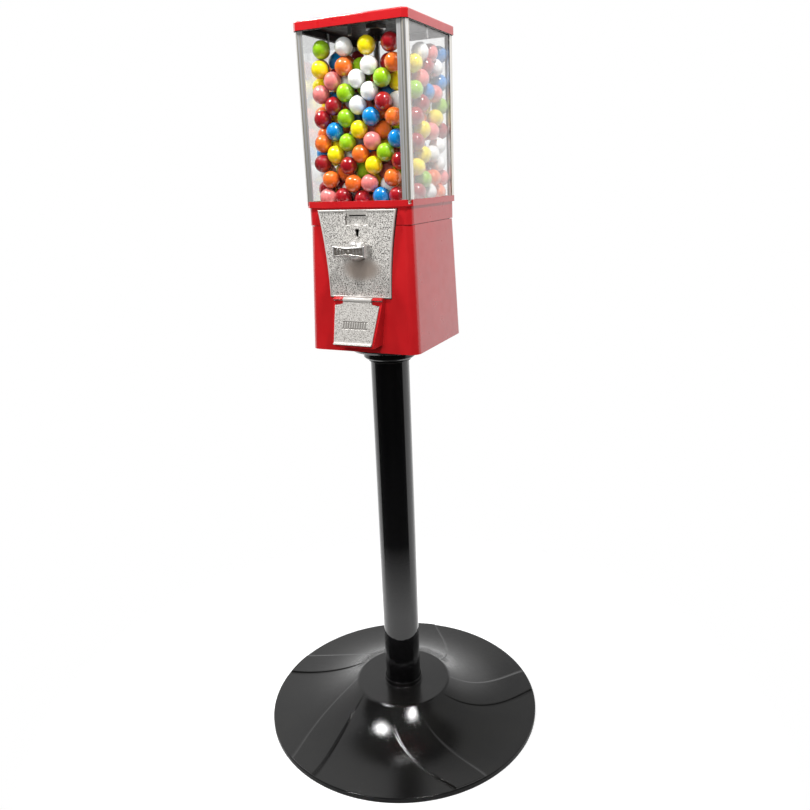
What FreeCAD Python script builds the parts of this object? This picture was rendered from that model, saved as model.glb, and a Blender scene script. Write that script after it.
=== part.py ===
import FreeCAD, Part
# Bulk gumball machine: a square glass-sided head on a round pipe stand.
# Origin: centre of the stand's base on the floor. +Z is up, the coin handle faces -Y.
import math
import os
import random
import re

import Sketcher
from FreeCAD import Rotation, Vector

doc = FreeCAD.newDocument("GumballMachine")

# ---------------------------------------------------------------- driving dimensions (mm, degrees)
SIZES = {
    # cast base: rim, hub, concave flare and its raised swirl bands
    "base_radius": 233, "base_rim": 9, "hub_radius": 80.5, "hub_top": 53, "cast_wall": 6, "cast_edge": 1.5,
    "flare_inner": 53.7, "flare_outer": 46.7, "flare_slope": 0.81, "hub_inset": 4, "socket_wall": 6,
    "band_rise": 1.8, "band_sink": 1, "band_inset": 1.5, "band_count": 5,
    "lead_sweep": 38, "lead_power": 1.25, "lead_start": -45,
    "trail_sweep": 18, "trail_power": 1.6, "trail_start": -32,
    # pipe, flange, bolts and centre rod
    "pipe_radius": 30.15, "pipe_wall": 3.9, "pipe_low": 22, "pipe_top": 652, "pipe_fit": 0.1,
    "boss_radius": 33, "boss_top": 61, "disc_radius": 62, "disc_low": 654, "disc_edge": 4,
    "neck_radius": 40.5, "neck_low": 640, "neck_edge": 2.5, "collar_low": 635.5, "seat_gap": 0.2,
    "bolt_circle": 48, "bolt_radius": 4, "bolt_hex": 13, "bolt_head": 5.3,
    "washer_radius": 8.5, "washer_thick": 1.6,
    "rod_radius": 4.76, "rod_low": 638, "rod_top": 1099, "rod_edge": 0.8, "rod_fit": 1.2,
    "nut_hex": 14.3, "nut_height": 8,
    # tapered cabinet
    "cabinet_low": 666, "parting": 844, "cabinet_foot": 87, "draft": 2, "corner": 14, "wall": 3.2, "floor": 4,
    "hood_low": 678, "hood_sill": 682, "duct_low": 684.5, "duct_high": 737,
    # hopper housing, globe and lid
    "head_half": 80.8, "housing_low": 844.7, "housing_top": 869, "skirt_drop": 8, "ledge": 3.2,
    "frame_half": 82.5, "frame_top": 877.5, "chamfer_leg": 6.5,
    "globe_half": 81.8, "post_leg": 12.5, "post_round": 5, "post_core": 74.8,
    "glass_face": 80.6, "glass_thick": 2.4, "glass_half": 74.6, "glass_low": 872, "glass_top": 1101.5,
    "lid_half": 84.5, "lid_low": 1097.2, "lid_top": 1109.5, "lid_sheet": 2.2, "lid_roof": 2.6,
    "lid_round": 2.4,
    "lock_radius": 11, "lock_low": 1088, "lock_flange": 14, "lock_rise": 3, "plug_radius": 7.5,
    # dispensing wheel, hopper pan and brush cover
    "wheel_radius": 61, "wheel_low": 820.2, "wheel_top": 845, "wheel_skirt": 49.6, "bush_radius": 8,
    "pocket_circle": 35, "pocket_radius": 13.5, "pocket_count": 5, "face_teeth": 50, "tooth_height": 5,
    "well_radius": 61.6, "pan_floor": 819.6, "pan_thick": 2, "pan_skin": 1.6,
    "cone_foot": 860, "cone_rise": 10.8, "cone_run": 10.4,
    "cover_half": 19, "cover_sheet": 1.6, "cover_top": 866, "cover_back": 15.5,
    # coin plate and the mechanism behind it
    "axis_height": 811.5, "shaft_radius": 4.76, "plate_face": 86.5, "plate_thick": 6, "plate_low": 744.4,
    "plate_top": 866, "plate_foot": 48.5, "plate_head": 61, "plate_curve": 668, "plate_gap": 0.8,
    "plate_border": 2.2, "plate_sink": 0.8, "recess_half": 18, "recess_low": 845.5, "recess_top": 857,
    "recess_depth": 4.6, "scoop_half": 16, "slot_half": 13.3, "slot_height": 3,
    "mech_half": 44, "mech_low": 768, "mech_top": 866.5, "mech_back": 67, "back_thick": 2, "back_top": 855,
    "coin_wheel_radius": 38, "coin_radius": 12.4, "coin_offset": 26,
    "ratchet_tip": 26, "ratchet_root": 22.6, "ratchet_teeth": 18, "pivot_x": 33, "pivot_z": 843,
    "lip_screw_x": 36, "lip_screw_y": 73.5,
    "pinion_teeth": 10, "gear_module": 2.2, "pinion_front": 58.5, "pinion_width": 7,
    # coin handle
    "handle_span": 24.8, "handle_rise": 8.3, "handle_waist": 6.2, "handle_face": 114, "handle_back": 92,
    "wing_back": 94, "handle_rim": 3, "handle_sink": 0.9,
    # prize door and chute
    "hinge_y": 93.5, "hinge_z": 742.5, "hinge_radius": 1.6, "knuckle_radius": 4, "knuckle_half": 22.8,
    "door_head": 35.2, "door_foot": 30, "door_slope": 20, "door_length": 61.5, "door_thick": 2.2,
    "cheek_head": 38.7, "cheek_foot": 32.5, "cheek_wall": 4,
    "chute_half": 18, "chute_sheet": 1.5, "chute_top": 814.5, "chute_front": 50.4, "chute_back": 20.5,
    "chute_nose": 87.6, "chute_low": 685, "chute_head": 736.5, "ramp_top": 728, "chute_bend": 757,
    "foot_half": 9, "foot_screw_y": 14,
    # gumballs
    "ball_radius": 12.2, "ball_count": 250, "ball_ceiling": 1079,
}

# where the mechanism is screwed to the back of the coin plate (x, z)
MECH_CORNERS = [("-39", "773.5"), ("39", "773.5"), ("-39", "851"), ("39", "851")]

sheet = doc.addObject("Spreadsheet::Sheet", "Sizes")
for row, (word, value) in enumerate(SIZES.items(), 1):
    sheet.set(f"A{row}", word)
    sheet.set(f"B{row}", str(value))
    sheet.setAlias(f"B{row}", word)
doc.recompute()

NODES = []


def full(expression):
    """Point every size word in an expression at the sheet."""
    def point(match):
        word = match.group()
        return "Sizes." + word if word in SIZES else word

    return re.sub(r"[a-z_]{3,}", point, str(expression))


def number(expression):
    """The value of an expression of size words, for start positions and hand-made shapes."""
    value = sheet.evalExpression(re.sub(r"Sizes\.", "", full(expression)))
    return float(getattr(value, "Value", value))


def node(name, thing):
    """Mark an object as a finished sub-part with a label of its own."""
    thing.Label = name
    NODES.append(thing)
    return thing


# ---------------------------------------------------------------- modelling helpers
def new_body(name):
    return doc.addObject("PartDesign::Body", name + "_body")


def arc_between(p, q, radius):
    """Minor arc from p to q. A positive radius turns left, a negative one turns right."""
    across = q - p
    half = across.Length / 2
    side = Vector(-across.y, across.x, 0).normalize() * math.copysign(1, radius)
    centre = (p + q) * 0.5 + side * math.sqrt(radius * radius - half * half)
    first, last = (p, q) if radius > 0 else (q, p)
    start = math.atan2(first.y - centre.y, first.x - centre.x)
    end = math.atan2(last.y - centre.y, last.x - centre.x)
    return Part.ArcOfCircle(Part.Circle(centre, Vector(0, 0, 1), abs(radius)), start, end)


def draw(body, plane, outline, at="0", drop="0"):
    """Closed outline on an origin plane of the body.

    A corner is (u, v), or (u, v, radius) where an arc leaves it.
    at lifts the sketch along the plane's normal, drop moves it up within the plane.
    """
    sketch = body.newObject("Sketcher::SketchObject", body.Name + "_outline")
    origin_plane = [f for f in body.Origin.OriginFeatures if f.Role == plane + "_Plane"][0]
    sketch.AttachmentSupport = [(origin_plane, "")]
    sketch.MapMode = "FlatFace"
    sketch.setExpression("AttachmentOffset.Base.z", full(at))
    sketch.setExpression("AttachmentOffset.Base.y", full(drop))
    spots = [Vector(number(corner[0]), number(corner[1]), 0) for corner in outline]
    ends = []
    for i, corner in enumerate(outline):
        p, q = spots[i], spots[(i + 1) % len(spots)]
        if len(corner) == 3:
            radius = number(corner[2])
            edge = sketch.addGeometry(arc_between(p, q, radius), False)
            ends.append((edge, 1, 2) if radius > 0 else (edge, 2, 1))
            rule = sketch.addConstraint(Sketcher.Constraint("Radius", edge, abs(radius)))
            sketch.setExpression(f"Constraints[{rule}]", full(f"abs({corner[2]})"))
        else:
            edge = sketch.addGeometry(Part.LineSegment(p, q), False)
            ends.append((edge, 1, 2))
    for i, corner in enumerate(outline):
        edge, first, last = ends[i]
        follower, next_first, next_last = ends[(i + 1) % len(ends)]
        sketch.addConstraint(Sketcher.Constraint("Coincident", edge, last, follower, next_first))
        for kind, text in (("DistanceX", corner[0]), ("DistanceY", corner[1])):
            rule = sketch.addConstraint(Sketcher.Constraint(kind, -1, 1, edge, first, number(text)))
            sketch.setExpression(f"Constraints[{rule}]", full(text))
    return sketch


def pad(body, sketch, length, taper="0"):
    feature = body.newObject("PartDesign::Pad", body.Name + "_pad")
    feature.Profile = sketch
    feature.setExpression("Length", full(length))
    feature.setExpression("TaperAngle", full(taper))
    body.Tip = feature
    doc.recompute()
    return feature


def prism(name, plane, outline, at, length, taper="0"):
    """A straight or tapered extrusion of an outline.

    XY rises from z = at; XZ comes forward from y = -at; YZ runs to the right from x = at.
    """
    body = new_body(name)
    pad(body, draw(body, plane, outline, at), length, taper)
    return body


def turned(name, outline, upright=True):
    """A turned piece: radius and height about Z, or y and radius about the coin shaft's axis."""
    body = new_body(name)
    if upright:
        sketch = draw(body, "XZ", outline)
    else:
        sketch = draw(body, "YZ", outline, drop="axis_height")
    feature = body.newObject("PartDesign::Revolution", body.Name + "_turn")
    feature.Profile = sketch
    feature.ReferenceAxis = (sketch, ["V_Axis" if upright else "H_Axis"])
    feature.Angle = 360
    body.Tip = feature
    doc.recompute()
    return body


def soften(body, radius, chosen, kind="Fillet"):
    """Fillet or chamfer the chosen edges of the body's last feature."""
    base = body.Tip
    names = [f"Edge{i}" for i, edge in enumerate(base.Shape.Edges, 1) if chosen(edge)]
    feature = body.newObject("PartDesign::" + kind, body.Name + "_" + kind.lower())
    feature.Base = (base, names)
    feature.setExpression("Radius" if kind == "Fillet" else "Size", full(radius))
    body.Tip = feature
    doc.recompute()


def is_upright(edge):
    """True for a straight edge that runs mostly up and down."""
    low, high = edge.Vertexes[0].Point, edge.Vertexes[-1].Point
    return abs(high.z - low.z) > 0.9 * edge.Length and edge.Length > 0


def at_height(z):
    """A chooser of edges that lie at one height."""
    return lambda edge: abs(edge.BoundBox.ZMin - z) < 0.01 and abs(edge.BoundBox.ZMax - z) < 0.01


def cylinder(name, radius, length, x="0", y="0", z="0", along="Z"):
    """A cylinder that starts at (x, y, z) and runs along +X, +Y or +Z."""
    thing = doc.addObject("Part::Cylinder", name)
    turns = {"Z": Rotation(), "Y": Rotation(Vector(1, 0, 0), -90), "X": Rotation(Vector(0, 1, 0), 90)}
    thing.Placement.Rotation = turns[along]
    thing.setExpression("Radius", full(radius))
    thing.setExpression("Height", full(length))
    for axis, text in (("x", x), ("y", y), ("z", z)):
        thing.setExpression("Placement.Base." + axis, full(text))
    return thing


def block(name, x, y, z):
    """A box from pairs of low and high limits."""
    thing = doc.addObject("Part::Box", name)
    for side, axis, (low, high) in (("Length", "x", x), ("Width", "y", y), ("Height", "z", z)):
        thing.setExpression(side, full(f"({high}) - ({low})"))
        thing.setExpression("Placement.Base." + axis, full(low))
    return thing


def bar(name, half, low, high):
    """A square upright bar centred on the Z axis, given its half width."""
    return block(name, (f"-({half})", half), (f"-({half})", half), (low, high))


def cut(name, base, *tools):
    for i, tool in enumerate(tools):
        thing = doc.addObject("Part::Cut", f"{name}_cut{i}")
        thing.Base, thing.Tool = base, tool
        base = thing
    doc.recompute()
    return base


def fuse(name, *pieces):
    thing = doc.addObject("Part::MultiFuse", name + "_fuse")
    thing.Shapes = list(pieces)
    thing.Refine = True
    doc.recompute()
    return thing


def common(name, one, other):
    thing = doc.addObject("Part::Common", name + "_common")
    thing.Base, thing.Tool = one, other
    doc.recompute()
    return thing


def group(name, pieces):
    """Several loose solids in one node."""
    thing = doc.addObject("Part::Compound", name + "_group")
    thing.Links = list(pieces)
    doc.recompute()
    return thing


def hexagon(name, across, length, x="0", y="0", z="0"):
    """A hexagonal prism standing on z, given its size across flats."""
    thing = doc.addObject("Part::Prism", name)
    thing.Polygon = 6
    thing.setExpression("Circumradius", full(f"({across}) / sqrt(3)"))
    thing.setExpression("Height", full(length))
    for axis, text in (("x", x), ("y", y), ("z", z)):
        thing.setExpression("Placement.Base." + axis, full(text))
    return thing


def square(half, chamfer=None):
    """Outline of a square about the origin, with its corners cut at 45 degrees if asked."""
    if chamfer is None:
        return [(f"-({half})", f"-({half})"), (half, f"-({half})"), (half, half), (f"-({half})", half)]
    short = f"({half}) - ({chamfer})"
    return [
        (f"-({short})", f"-({half})"), (short, f"-({half})"), (half, f"-({short})"), (half, short),
        (short, half), (f"-({short})", half), (f"-({half})", short), (f"-({half})", f"-({short})"),
    ]


# ---------------------------------------------------------------- stand
def flare_points(rise=0.0, drop=0.0):
    """Poles of the base's concave flare, from the hub's edge out to the rim."""
    hub, top = number("hub_radius"), number("hub_top")
    rim, low = number("base_radius"), number("base_rim")
    reach, slope = number("flare_inner"), number("flare_slope")
    return [
        Vector(hub, 0, top - drop),
        Vector(hub + reach + rise, 0, top - slope * reach + rise - drop),
        Vector(rim - number("flare_outer"), 0, low + rise - drop),
        Vector(rim, 0, low + rise - drop),
    ]


def flare_curve(poles):
    curve = Part.BezierCurve()
    curve.setPoles(poles)
    return curve.toShape()


def revolved(name, edges):
    """A solid of revolution about Z from a closed chain of edges, kept as a plain shape."""
    face = Part.Face(Part.Wire(edges))
    thing = doc.addObject("Part::Feature", name)
    thing.Shape = face.revolve(Vector(0, 0, 0), Vector(0, 0, 1), 360)
    return thing


def chain(*points):
    """Straight edges through (radius, height) points in the XZ plane."""
    spots = [Vector(r, 0, z) for r, z in points]
    return [Part.makeLine(a, b) for a, b in zip(spots, spots[1:])]


def make_base():
    """Hollow iron casting: hub, concave flare, five raised swirl bands and a floor ring."""
    rim, hub = number("base_radius"), number("hub_radius")
    bore, boss = number("pipe_radius + pipe_fit"), number("boss_radius")
    hub_top, boss_top, wall = number("hub_top"), number("boss_top"), number("cast_wall")
    inner_wall, low, edge = number("boss_radius + socket_wall"), number("pipe_low - 2"), number("cast_edge")
    outside = flare_curve(flare_points())
    inside = flare_points(drop=wall)
    inside[0].x -= number("hub_inset")
    inside[3].x = rim - wall
    skin = [
        *chain((bore, low), (bore, boss_top - edge), (bore + edge, boss_top), (boss - edge, boss_top),
               (boss, boss_top - edge), (boss, hub_top), (hub, hub_top)),
        outside,
        *chain((rim, number("base_rim")), (rim, 0), (rim - wall, 0), (rim - wall, inside[3].z)),
        flare_curve(inside),
        *chain((inside[0].x, inside[0].z), (inner_wall, inside[0].z), (inner_wall, low), (bore, low)),
    ]
    casting = revolved("base_casting", skin)

    rise = number("band_rise")
    top, foot = flare_points(rise=rise), flare_points(drop=number("band_sink"))
    skirt = rim - number("band_inset")
    for poles in (top, foot):
        poles[3].x = skirt
    layer = revolved("band_layer", [
        flare_curve(top), *chain((skirt, top[3].z), (skirt, foot[3].z)), flare_curve(foot),
        *chain((hub, foot[0].z), (hub, hub_top)),
    ])

    def swirl(edge_name):
        """One curved edge of a band: it trails back by its sweep from the rim to the hub."""
        sweep, power, offset = [number(f"{edge_name}_{word}") for word in ("sweep", "power", "start")]
        reach = rim - hub
        points = []
        for step in range(7):
            radius = hub - 2 + (rim - hub + 4) * step / 6
            angle = math.radians(offset - sweep * max((rim - radius) / reach, 0) ** power)
            points.append(Vector(radius * math.cos(angle), radius * math.sin(angle), 0))
        curve = Part.BSplineCurve()
        curve.interpolate(points)
        return curve.toShape(), points

    leading, a = swirl("lead")
    trailing, b = swirl("trail")
    sides = [leading, Part.makeLine(a[-1], b[-1]), trailing, Part.makeLine(b[0], a[0])]
    outline = Part.Face(Part.Wire(sides))
    bands = []
    for turn in range(int(number("band_count"))):
        tool = outline.extrude(Vector(0, 0, hub_top + 10))
        tool.rotate(Vector(), Vector(0, 0, 1), turn * 360 / number("band_count"))
        bands.append(tool)
    sweep = doc.addObject("Part::Feature", "band_sweep")
    sweep.Shape = Part.makeCompound(bands)
    node("stand_base", fuse("stand_base", casting, common("bands", layer, sweep)))


def make_stand():
    make_base()
    inner = "pipe_radius - pipe_wall"
    node("stand_pipe", turned("pipe", [
        (inner, "pipe_low"), ("pipe_radius", "pipe_low"), ("pipe_radius", "pipe_top"), (inner, "pipe_top")]))

    bore, seat = "pipe_radius + pipe_fit", "pipe_top + seat_gap"
    flange = turned("flange", [
        ("rod_radius + rod_fit", "cabinet_low"), ("rod_radius + rod_fit", seat), (bore, seat),
        (bore, "collar_low"), ("boss_radius", "collar_low"), ("boss_radius", "neck_low"),
        ("neck_radius - neck_edge", "neck_low"), ("neck_radius", "neck_low + neck_edge"),
        ("neck_radius", "disc_low"), ("disc_radius - disc_edge", "disc_low"),
        ("disc_radius", "disc_low + disc_edge"), ("disc_radius", "cabinet_low")])
    inside = "cabinet_low + floor"
    bolts, washers, holes = [], [], []
    for i, (sx, sy) in enumerate([(1, 1), (-1, 1), (-1, -1), (1, -1)]):
        x, y = f"{sx} * bolt_circle * sqrt(0.5)", f"{sy} * bolt_circle * sqrt(0.5)"
        holes.append(cylinder(f"bolt_hole{i}", "bolt_radius + 0.05", "40", x, y, "disc_low - 5"))
        shank = cylinder(f"bolt_shank{i}", "bolt_radius", "floor + 14", x, y, "cabinet_low - 10")
        head = hexagon(f"bolt_head{i}", "bolt_hex", "bolt_head", x, y, f"{inside} + washer_thick")
        bolts.append(fuse(f"bolt{i}", shank, head))
        disc = cylinder(f"washer_disc{i}", "washer_radius", "washer_thick", x, y, inside)
        bore_tool = cylinder(f"washer_bore{i}", "bolt_radius + 0.3", "6", x, y, f"{inside} - 2")
        washers.append(cut(f"washer{i}", disc, bore_tool))
    node("stand_flange", cut("stand_flange", flange, *holes))
    node("flange_bolts", group("flange_bolts", bolts))
    node("flange_washers", group("flange_washers", washers))

    narrow = "rod_radius - rod_edge"
    node("centre_rod", turned("rod", [
        ("0", "rod_low"), (narrow, "rod_low"), ("rod_radius", "rod_low + rod_edge"),
        ("rod_radius", "rod_top - rod_edge"), (narrow, "rod_top"), ("0", "rod_top")]))
    nuts = []
    for i, z in enumerate((f"{seat} - nut_height", inside)):
        nut = hexagon(f"rod_nut{i}", "nut_hex", "nut_height", z=z)
        bore_tool = cylinder(f"rod_nut_bore{i}", "rod_radius + 0.02", "nut_height + 4", z=z)
        nuts.append(cut(f"rod_nut_bored{i}", nut, bore_tool))
    node("rod_nuts", group("rod_nuts", nuts))
    return holes


# ---------------------------------------------------------------- cabinet, chute and door
def plate_outline(low, high, spare="0"):
    """The coin plate's outline: straight top and bottom, sides that curve inwards."""
    foot, head = f"plate_foot + {spare}", f"plate_head + {spare}"
    return [
        (f"-({foot})", low), (foot, low, "-plate_curve"),
        (head, high), (f"-({head})", high, "-plate_curve"),
    ]


def along_door(distance, lift):
    """A point measured down the door's outer face from the hinge, and lifted off that face."""
    down = f"({distance})"
    return (
        f"-(hinge_y + 3.3 + {down} * sin(door_slope)) - ({lift}) * cos(door_slope)",
        f"hinge_z - 3 - {down} * cos(door_slope) + ({lift}) * sin(door_slope)",
    )


def make_cabinet(bolt_holes):
    """Tapered red casting with a floor, an open top, the coin plate's window and the chute's cheeks."""
    height = "parting - cabinet_low"
    shell = prism("cabinet_outside", "XY", square("cabinet_foot"), "cabinet_low", height, "-draft")
    soften(shell, "corner", is_upright)
    hollow = prism("cabinet_inside", "XY", square("cabinet_foot - wall"), "cabinet_low", height + " + 5",
                   "-draft")
    soften(hollow, "corner - wall", is_upright)
    above = bar("above_floor", "200", "cabinet_low + floor", "parting + 20")
    hollow = common("cabinet_hollow", hollow, above)
    body = cut("cabinet_shell", shell, hollow)

    opening = plate_outline("plate_low - plate_gap", "plate_top", "plate_gap")
    window = prism("cabinet_window", "XZ", opening, "72", "30")
    outside = prism("hood_front", "XZ", [
        ("-cheek_foot", "hood_low"), ("cheek_foot", "hood_low"),
        ("cheek_head", "hinge_z - 4"), ("cheek_head", "hinge_z + 4"),
        ("-cheek_head", "hinge_z + 4"), ("-cheek_head", "hinge_z - 4")], "82", "40")
    behind = "-door_thick - 0.4"
    head_end, foot_end = along_door("-3", behind), along_door("door_length - 3", behind)
    side = prism("hood_side", "YZ", [
        ("-82", "hood_low"), (foot_end[0], "hood_low"), foot_end, head_end,
        ("-hinge_y - knuckle_radius", "hinge_z + 1"),
        ("-hinge_y + 2", "hinge_z + 4"), ("-82", "hinge_z - 0.5")], "-60", "120")
    hood = common("hood_blank", outside, side)
    inside_cabinet = bar("inside_cabinet", "cabinet_foot - 1", "600", "parting")
    shell_back = common("hood_clear", inside_cabinet, hollow)
    foot, head = "cheek_foot - cheek_wall", "cheek_head - cheek_wall"
    mouth = prism("hood_mouth", "XZ", [
        (f"-({foot})", "hood_sill"), (foot, "hood_sill"),
        (head, "hinge_z - 6.5"), (f"-({head})", "hinge_z - 6.5")], "87.2", "60")
    knuckle_gap = block("knuckle_gap", ("-knuckle_half - 0.5", "knuckle_half + 0.5"),
                        ("-140", "-(hinge_y - knuckle_radius - 0.6)"), ("hinge_z - 7", "hinge_z + 10"))
    pin_hole = cylinder("pin_hole", "hinge_radius", "120", "-60", "-hinge_y", "hinge_z", along="X")
    duct = block("duct_opening", ("-chute_half - 0.3", "chute_half + 0.3"), ("-95", "-75"),
                 ("duct_low", "duct_high"))
    rod_hole = cylinder("rod_hole", "rod_radius + rod_fit", "20", z="cabinet_low - 5")
    seat_hole = cylinder("chute_screw_hole", "2.05", "20", "0", "-foot_screw_y", "cabinet_low - 5")
    body = fuse("cabinet_casting", cut("cabinet_open", body, window), cut("hood_fitted", hood, shell_back))
    openings = [mouth, knuckle_gap, pin_hole, duct, rod_hole, seat_hole, *bolt_holes]
    node("cabinet", cut("cabinet", body, *openings))


def make_chute():
    """Sheet metal duct: a drop behind the coin mechanism, a ramp to the door, and a leg to the floor."""
    top, front, back, nose = "chute_top", "-chute_front", "-chute_back", "-chute_nose"
    outer = prism("chute_outer", "YZ", [
        (nose, "chute_low"), (back, "ramp_top"), (back, top), (front, top), (front, "chute_bend"),
        ("-78", "chute_head"), (nose, "chute_head")], "-chute_half", "2 * chute_half")
    back_skin, front_skin = f"{back} - chute_sheet", f"{front} + chute_sheet"
    beyond = "-95"
    inner = prism("chute_inner", "YZ", [
        (beyond, "chute_low - 3"), (back_skin, "ramp_top + 1"), (back_skin, "830"), (front_skin, "830"),
        (front_skin, "chute_bend - 1"), ("-78.6", "chute_head - chute_sheet"),
        (beyond, "chute_head - chute_sheet")],
        "-(chute_half - chute_sheet)", "2 * (chute_half - chute_sheet)")
    inside = "cabinet_low + floor"
    width = ("-foot_half", "foot_half")
    leg = block("chute_leg", width, (back_skin, back), (inside, "740"))
    foot = block("chute_foot", width, (back_skin, "-8"), (inside, f"{inside} + chute_sheet"))
    screw_hole = cylinder("chute_foot_hole", "2.2", "20", "0", "-foot_screw_y", "cabinet_low")
    node("delivery_chute", cut("delivery_chute", fuse("chute", outer, leg, foot), inner, screw_hole))
    shank = cylinder("chute_screw_shank", "2", "floor + chute_sheet", "0", "-foot_screw_y", "cabinet_low")
    head = cylinder("chute_screw_head", "4", "2.6", "0", "-foot_screw_y", f"{inside} + chute_sheet")
    node("chute_screw", fuse("chute_screw", shank, head))


def make_door():
    """Sloping flap with a curled lip, hung from a knuckle between the two cheeks."""
    face = [along_door("0", "0"), along_door("door_length - 4", "0"), along_door("door_length", "2.6"),
            along_door("door_length", "0.6"), along_door("door_length - 3", "-door_thick"),
            along_door("0", "-door_thick")]
    slab = prism("door_side", "YZ", face, "-50", "100")
    front = prism("door_front", "XZ", [
        ("-door_foot", "hinge_z - 3 - door_length"), ("door_foot", "hinge_z - 3 - door_length"),
        ("door_head", "hinge_z - 7.6"), ("knuckle_half", "hinge_z - 5.6"), ("knuckle_half", "hinge_z + 6"),
        ("-knuckle_half", "hinge_z + 6"), ("-knuckle_half", "hinge_z - 5.6"),
        ("-door_head", "hinge_z - 7.6")],
        "60", "80")
    flap = common("door_flap", slab, front)
    axis = ("-hinge_y", "hinge_z")
    length = "2 * knuckle_half"
    knuckle = cylinder("door_knuckle", "knuckle_radius", length, "-knuckle_half", *axis, along="X")
    bore = cylinder("door_bore", "hinge_radius + 0.06", "100", "-50", *axis, along="X")
    node("chute_door", cut("chute_door", fuse("door", flap, knuckle), bore))
    node("hinge_pin", cylinder("door_pin", "hinge_radius", "2 * cheek_head", "-cheek_head", *axis, along="X"))


# ---------------------------------------------------------------- head: housing, pan, globe and lid
def make_housing():
    """Red square housing between the cabinet and the globe, with a skirt that locates in the cabinet."""
    height = "housing_top - housing_low"
    outside = prism("housing_outside", "XY", square("head_half"), "housing_low", height)
    soften(outside, "corner - 3", is_upright)
    skirt_low = "housing_low - skirt_drop"
    skirt = prism("skirt_outside", "XY", square("head_half - wall - 0.8"), skirt_low, "skirt_drop + 4")
    soften(skirt, "corner - wall - 1", is_upright)
    inside = prism("housing_inside", "XY", square("head_half - wall - ledge"), "housing_low - 20", "80")
    soften(inside, "8", is_upright)
    room = prism("housing_room", "XY", square("head_half - wall"), "housing_low + 3", height + " - 5.2")
    soften(room, "corner - wall - 3", is_upright)
    opening = plate_outline("plate_low - plate_gap", "plate_top + plate_gap", "plate_gap")
    window = prism("housing_window", "XZ", opening, "66", "40")
    holes, sinks = [], []
    for i, x in enumerate(("-lip_screw_x", "lip_screw_x")):
        holes.append(cylinder(f"lip_hole{i}", "2.05", "30", x, "-lip_screw_y", "850"))
        sinks.append(cylinder(f"lip_sink{i}", "3.6", "10", x, "-lip_screw_y", "housing_top - 1.6"))
    body = fuse("housing", outside, skirt)
    node("hopper_housing", cut("hopper_housing", body, inside, room, window, *holes, *sinks))


def make_pan():
    """Funnel and wheel well with the bush that the product wheel turns on."""
    well, skin, bore = "well_radius", "well_radius + pan_skin", "rod_radius + 0.6"
    under, lip, bush_top = "pan_floor - pan_thick", "housing_top", "wheel_top + 3"
    pan = turned("pan", [
        (bore, under), (skin, under), (skin, "cone_foot - 3"), ("73", lip), ("76", lip),
        ("76", "cone_foot + cone_rise"), ("well_radius + cone_run", "cone_foot + cone_rise"),
        (well, "cone_foot"), (well, "pan_floor"), ("bush_radius", "pan_floor"), ("bush_radius", bush_top),
        (bore, bush_top)])
    flange = cut("pan_flange", bar("pan_square", "77.4", lip, f"{lip} + 1.8"),
                 cylinder("pan_round", "74", "10", z=f"{lip} - 4"))
    drop = cylinder("drop_hole", "pocket_radius - 0.5", "20", "0", "-pocket_circle", "pan_floor - 10")
    slot = block("pinion_slot", ("-16", "16"), ("-60.6", "-50.4"), ("pan_floor - 10", "pan_floor + 1"))
    node("hopper_pan", cut("hopper_pan", fuse("pan_whole", pan, flange), drop, slot))


def make_wheel():
    """Product wheel: five pockets through it and a ring of straight teeth underneath."""
    bore, root, clear = "bush_radius + 0.08", "wheel_low + tooth_height", "wheel_low + 0.4"
    disc = turned("wheel", [
        (bore, root), ("wheel_radius", root), ("wheel_radius", "wheel_top - 1.2"),
        ("wheel_radius - 1.2", "wheel_top"), (bore, "wheel_top")])
    skirt = turned("wheel_skirt", [
        (bore, clear), ("wheel_skirt", clear), ("wheel_skirt", f"{root} + 1"), (bore, f"{root} + 1")])
    height, count = number(f"{root} + 0.2"), int(number("face_teeth"))
    pitch = math.tau / count
    teeth = []
    for i in range(count):
        # each tooth is a radial ridge, wider at its root, on the pitch circle halfway between two gaps
        angle = -math.pi / 2 + pitch * (i + 0.5)
        rings = []
        for radius in (number("wheel_skirt - 0.4"), number("wheel_radius - 1")):
            wide, narrow = radius * pitch * 0.33, radius * pitch * 0.10
            low = number("wheel_low")
            corners = [(-wide, height), (-narrow, low), (narrow, low), (wide, height)]
            spots = [Vector(radius, side, z) for side, z in corners]
            rings.append(Part.makePolygon(spots + spots[:1]))
        tooth = Part.makeLoft(rings, True, True)
        tooth.rotate(Vector(), Vector(0, 0, 1), math.degrees(angle))
        teeth.append(tooth)
    ring = doc.addObject("Part::Feature", "wheel_teeth")
    ring.Shape = teeth[0].multiFuse(teeth[1:])
    pockets = []
    for i in range(int(number("pocket_count"))):
        angle = f"{i} * 360 / pocket_count - 90"
        pockets.append(cylinder(f"pocket{i}", "pocket_radius", "60", f"pocket_circle * cos({angle})",
                                f"pocket_circle * sin({angle})", "wheel_low - 10"))
    node("product_wheel", cut("product_wheel", fuse("wheel_whole", disc, skirt, ring), *pockets))


def make_brush_cover():
    """Hood over the outlet with a brush on each side, so that one pocket empties at a time."""
    low, half = "wheel_top + 0.8", "cover_half"
    limit = cylinder("cover_limit", "well_radius - 0.2", "60", z=low)
    outer = block("cover_block", (f"-{half}", half), ("-70", "-cover_back"), ("840", "cover_top"))
    outer = common("cover_outer", outer, limit)
    room, roof = f"{half} - cover_sheet", "cover_top - cover_sheet"
    inner = block("cover_inner", (f"-({room})", room), ("-58", "-cover_back - cover_sheet"), ("840", roof))
    rivet_holes = [cylinder(f"cover_hole{i}", "1.6", "12", x, "-66", "853", along="Y") for i, x in
                   enumerate(("-11", "11"))]
    node("brush_cover", cut("brush_cover", outer, inner, *rivet_holes))
    inner_edge = f"{room} - 3.8"
    strips = [block(f"brush{i}", limits, ("-50", "-20"), (low, roof))
              for i, limits in enumerate(((f"-({room})", f"-({inner_edge})"), (inner_edge, room)))]
    node("brushes", group("brushes", strips))


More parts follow.
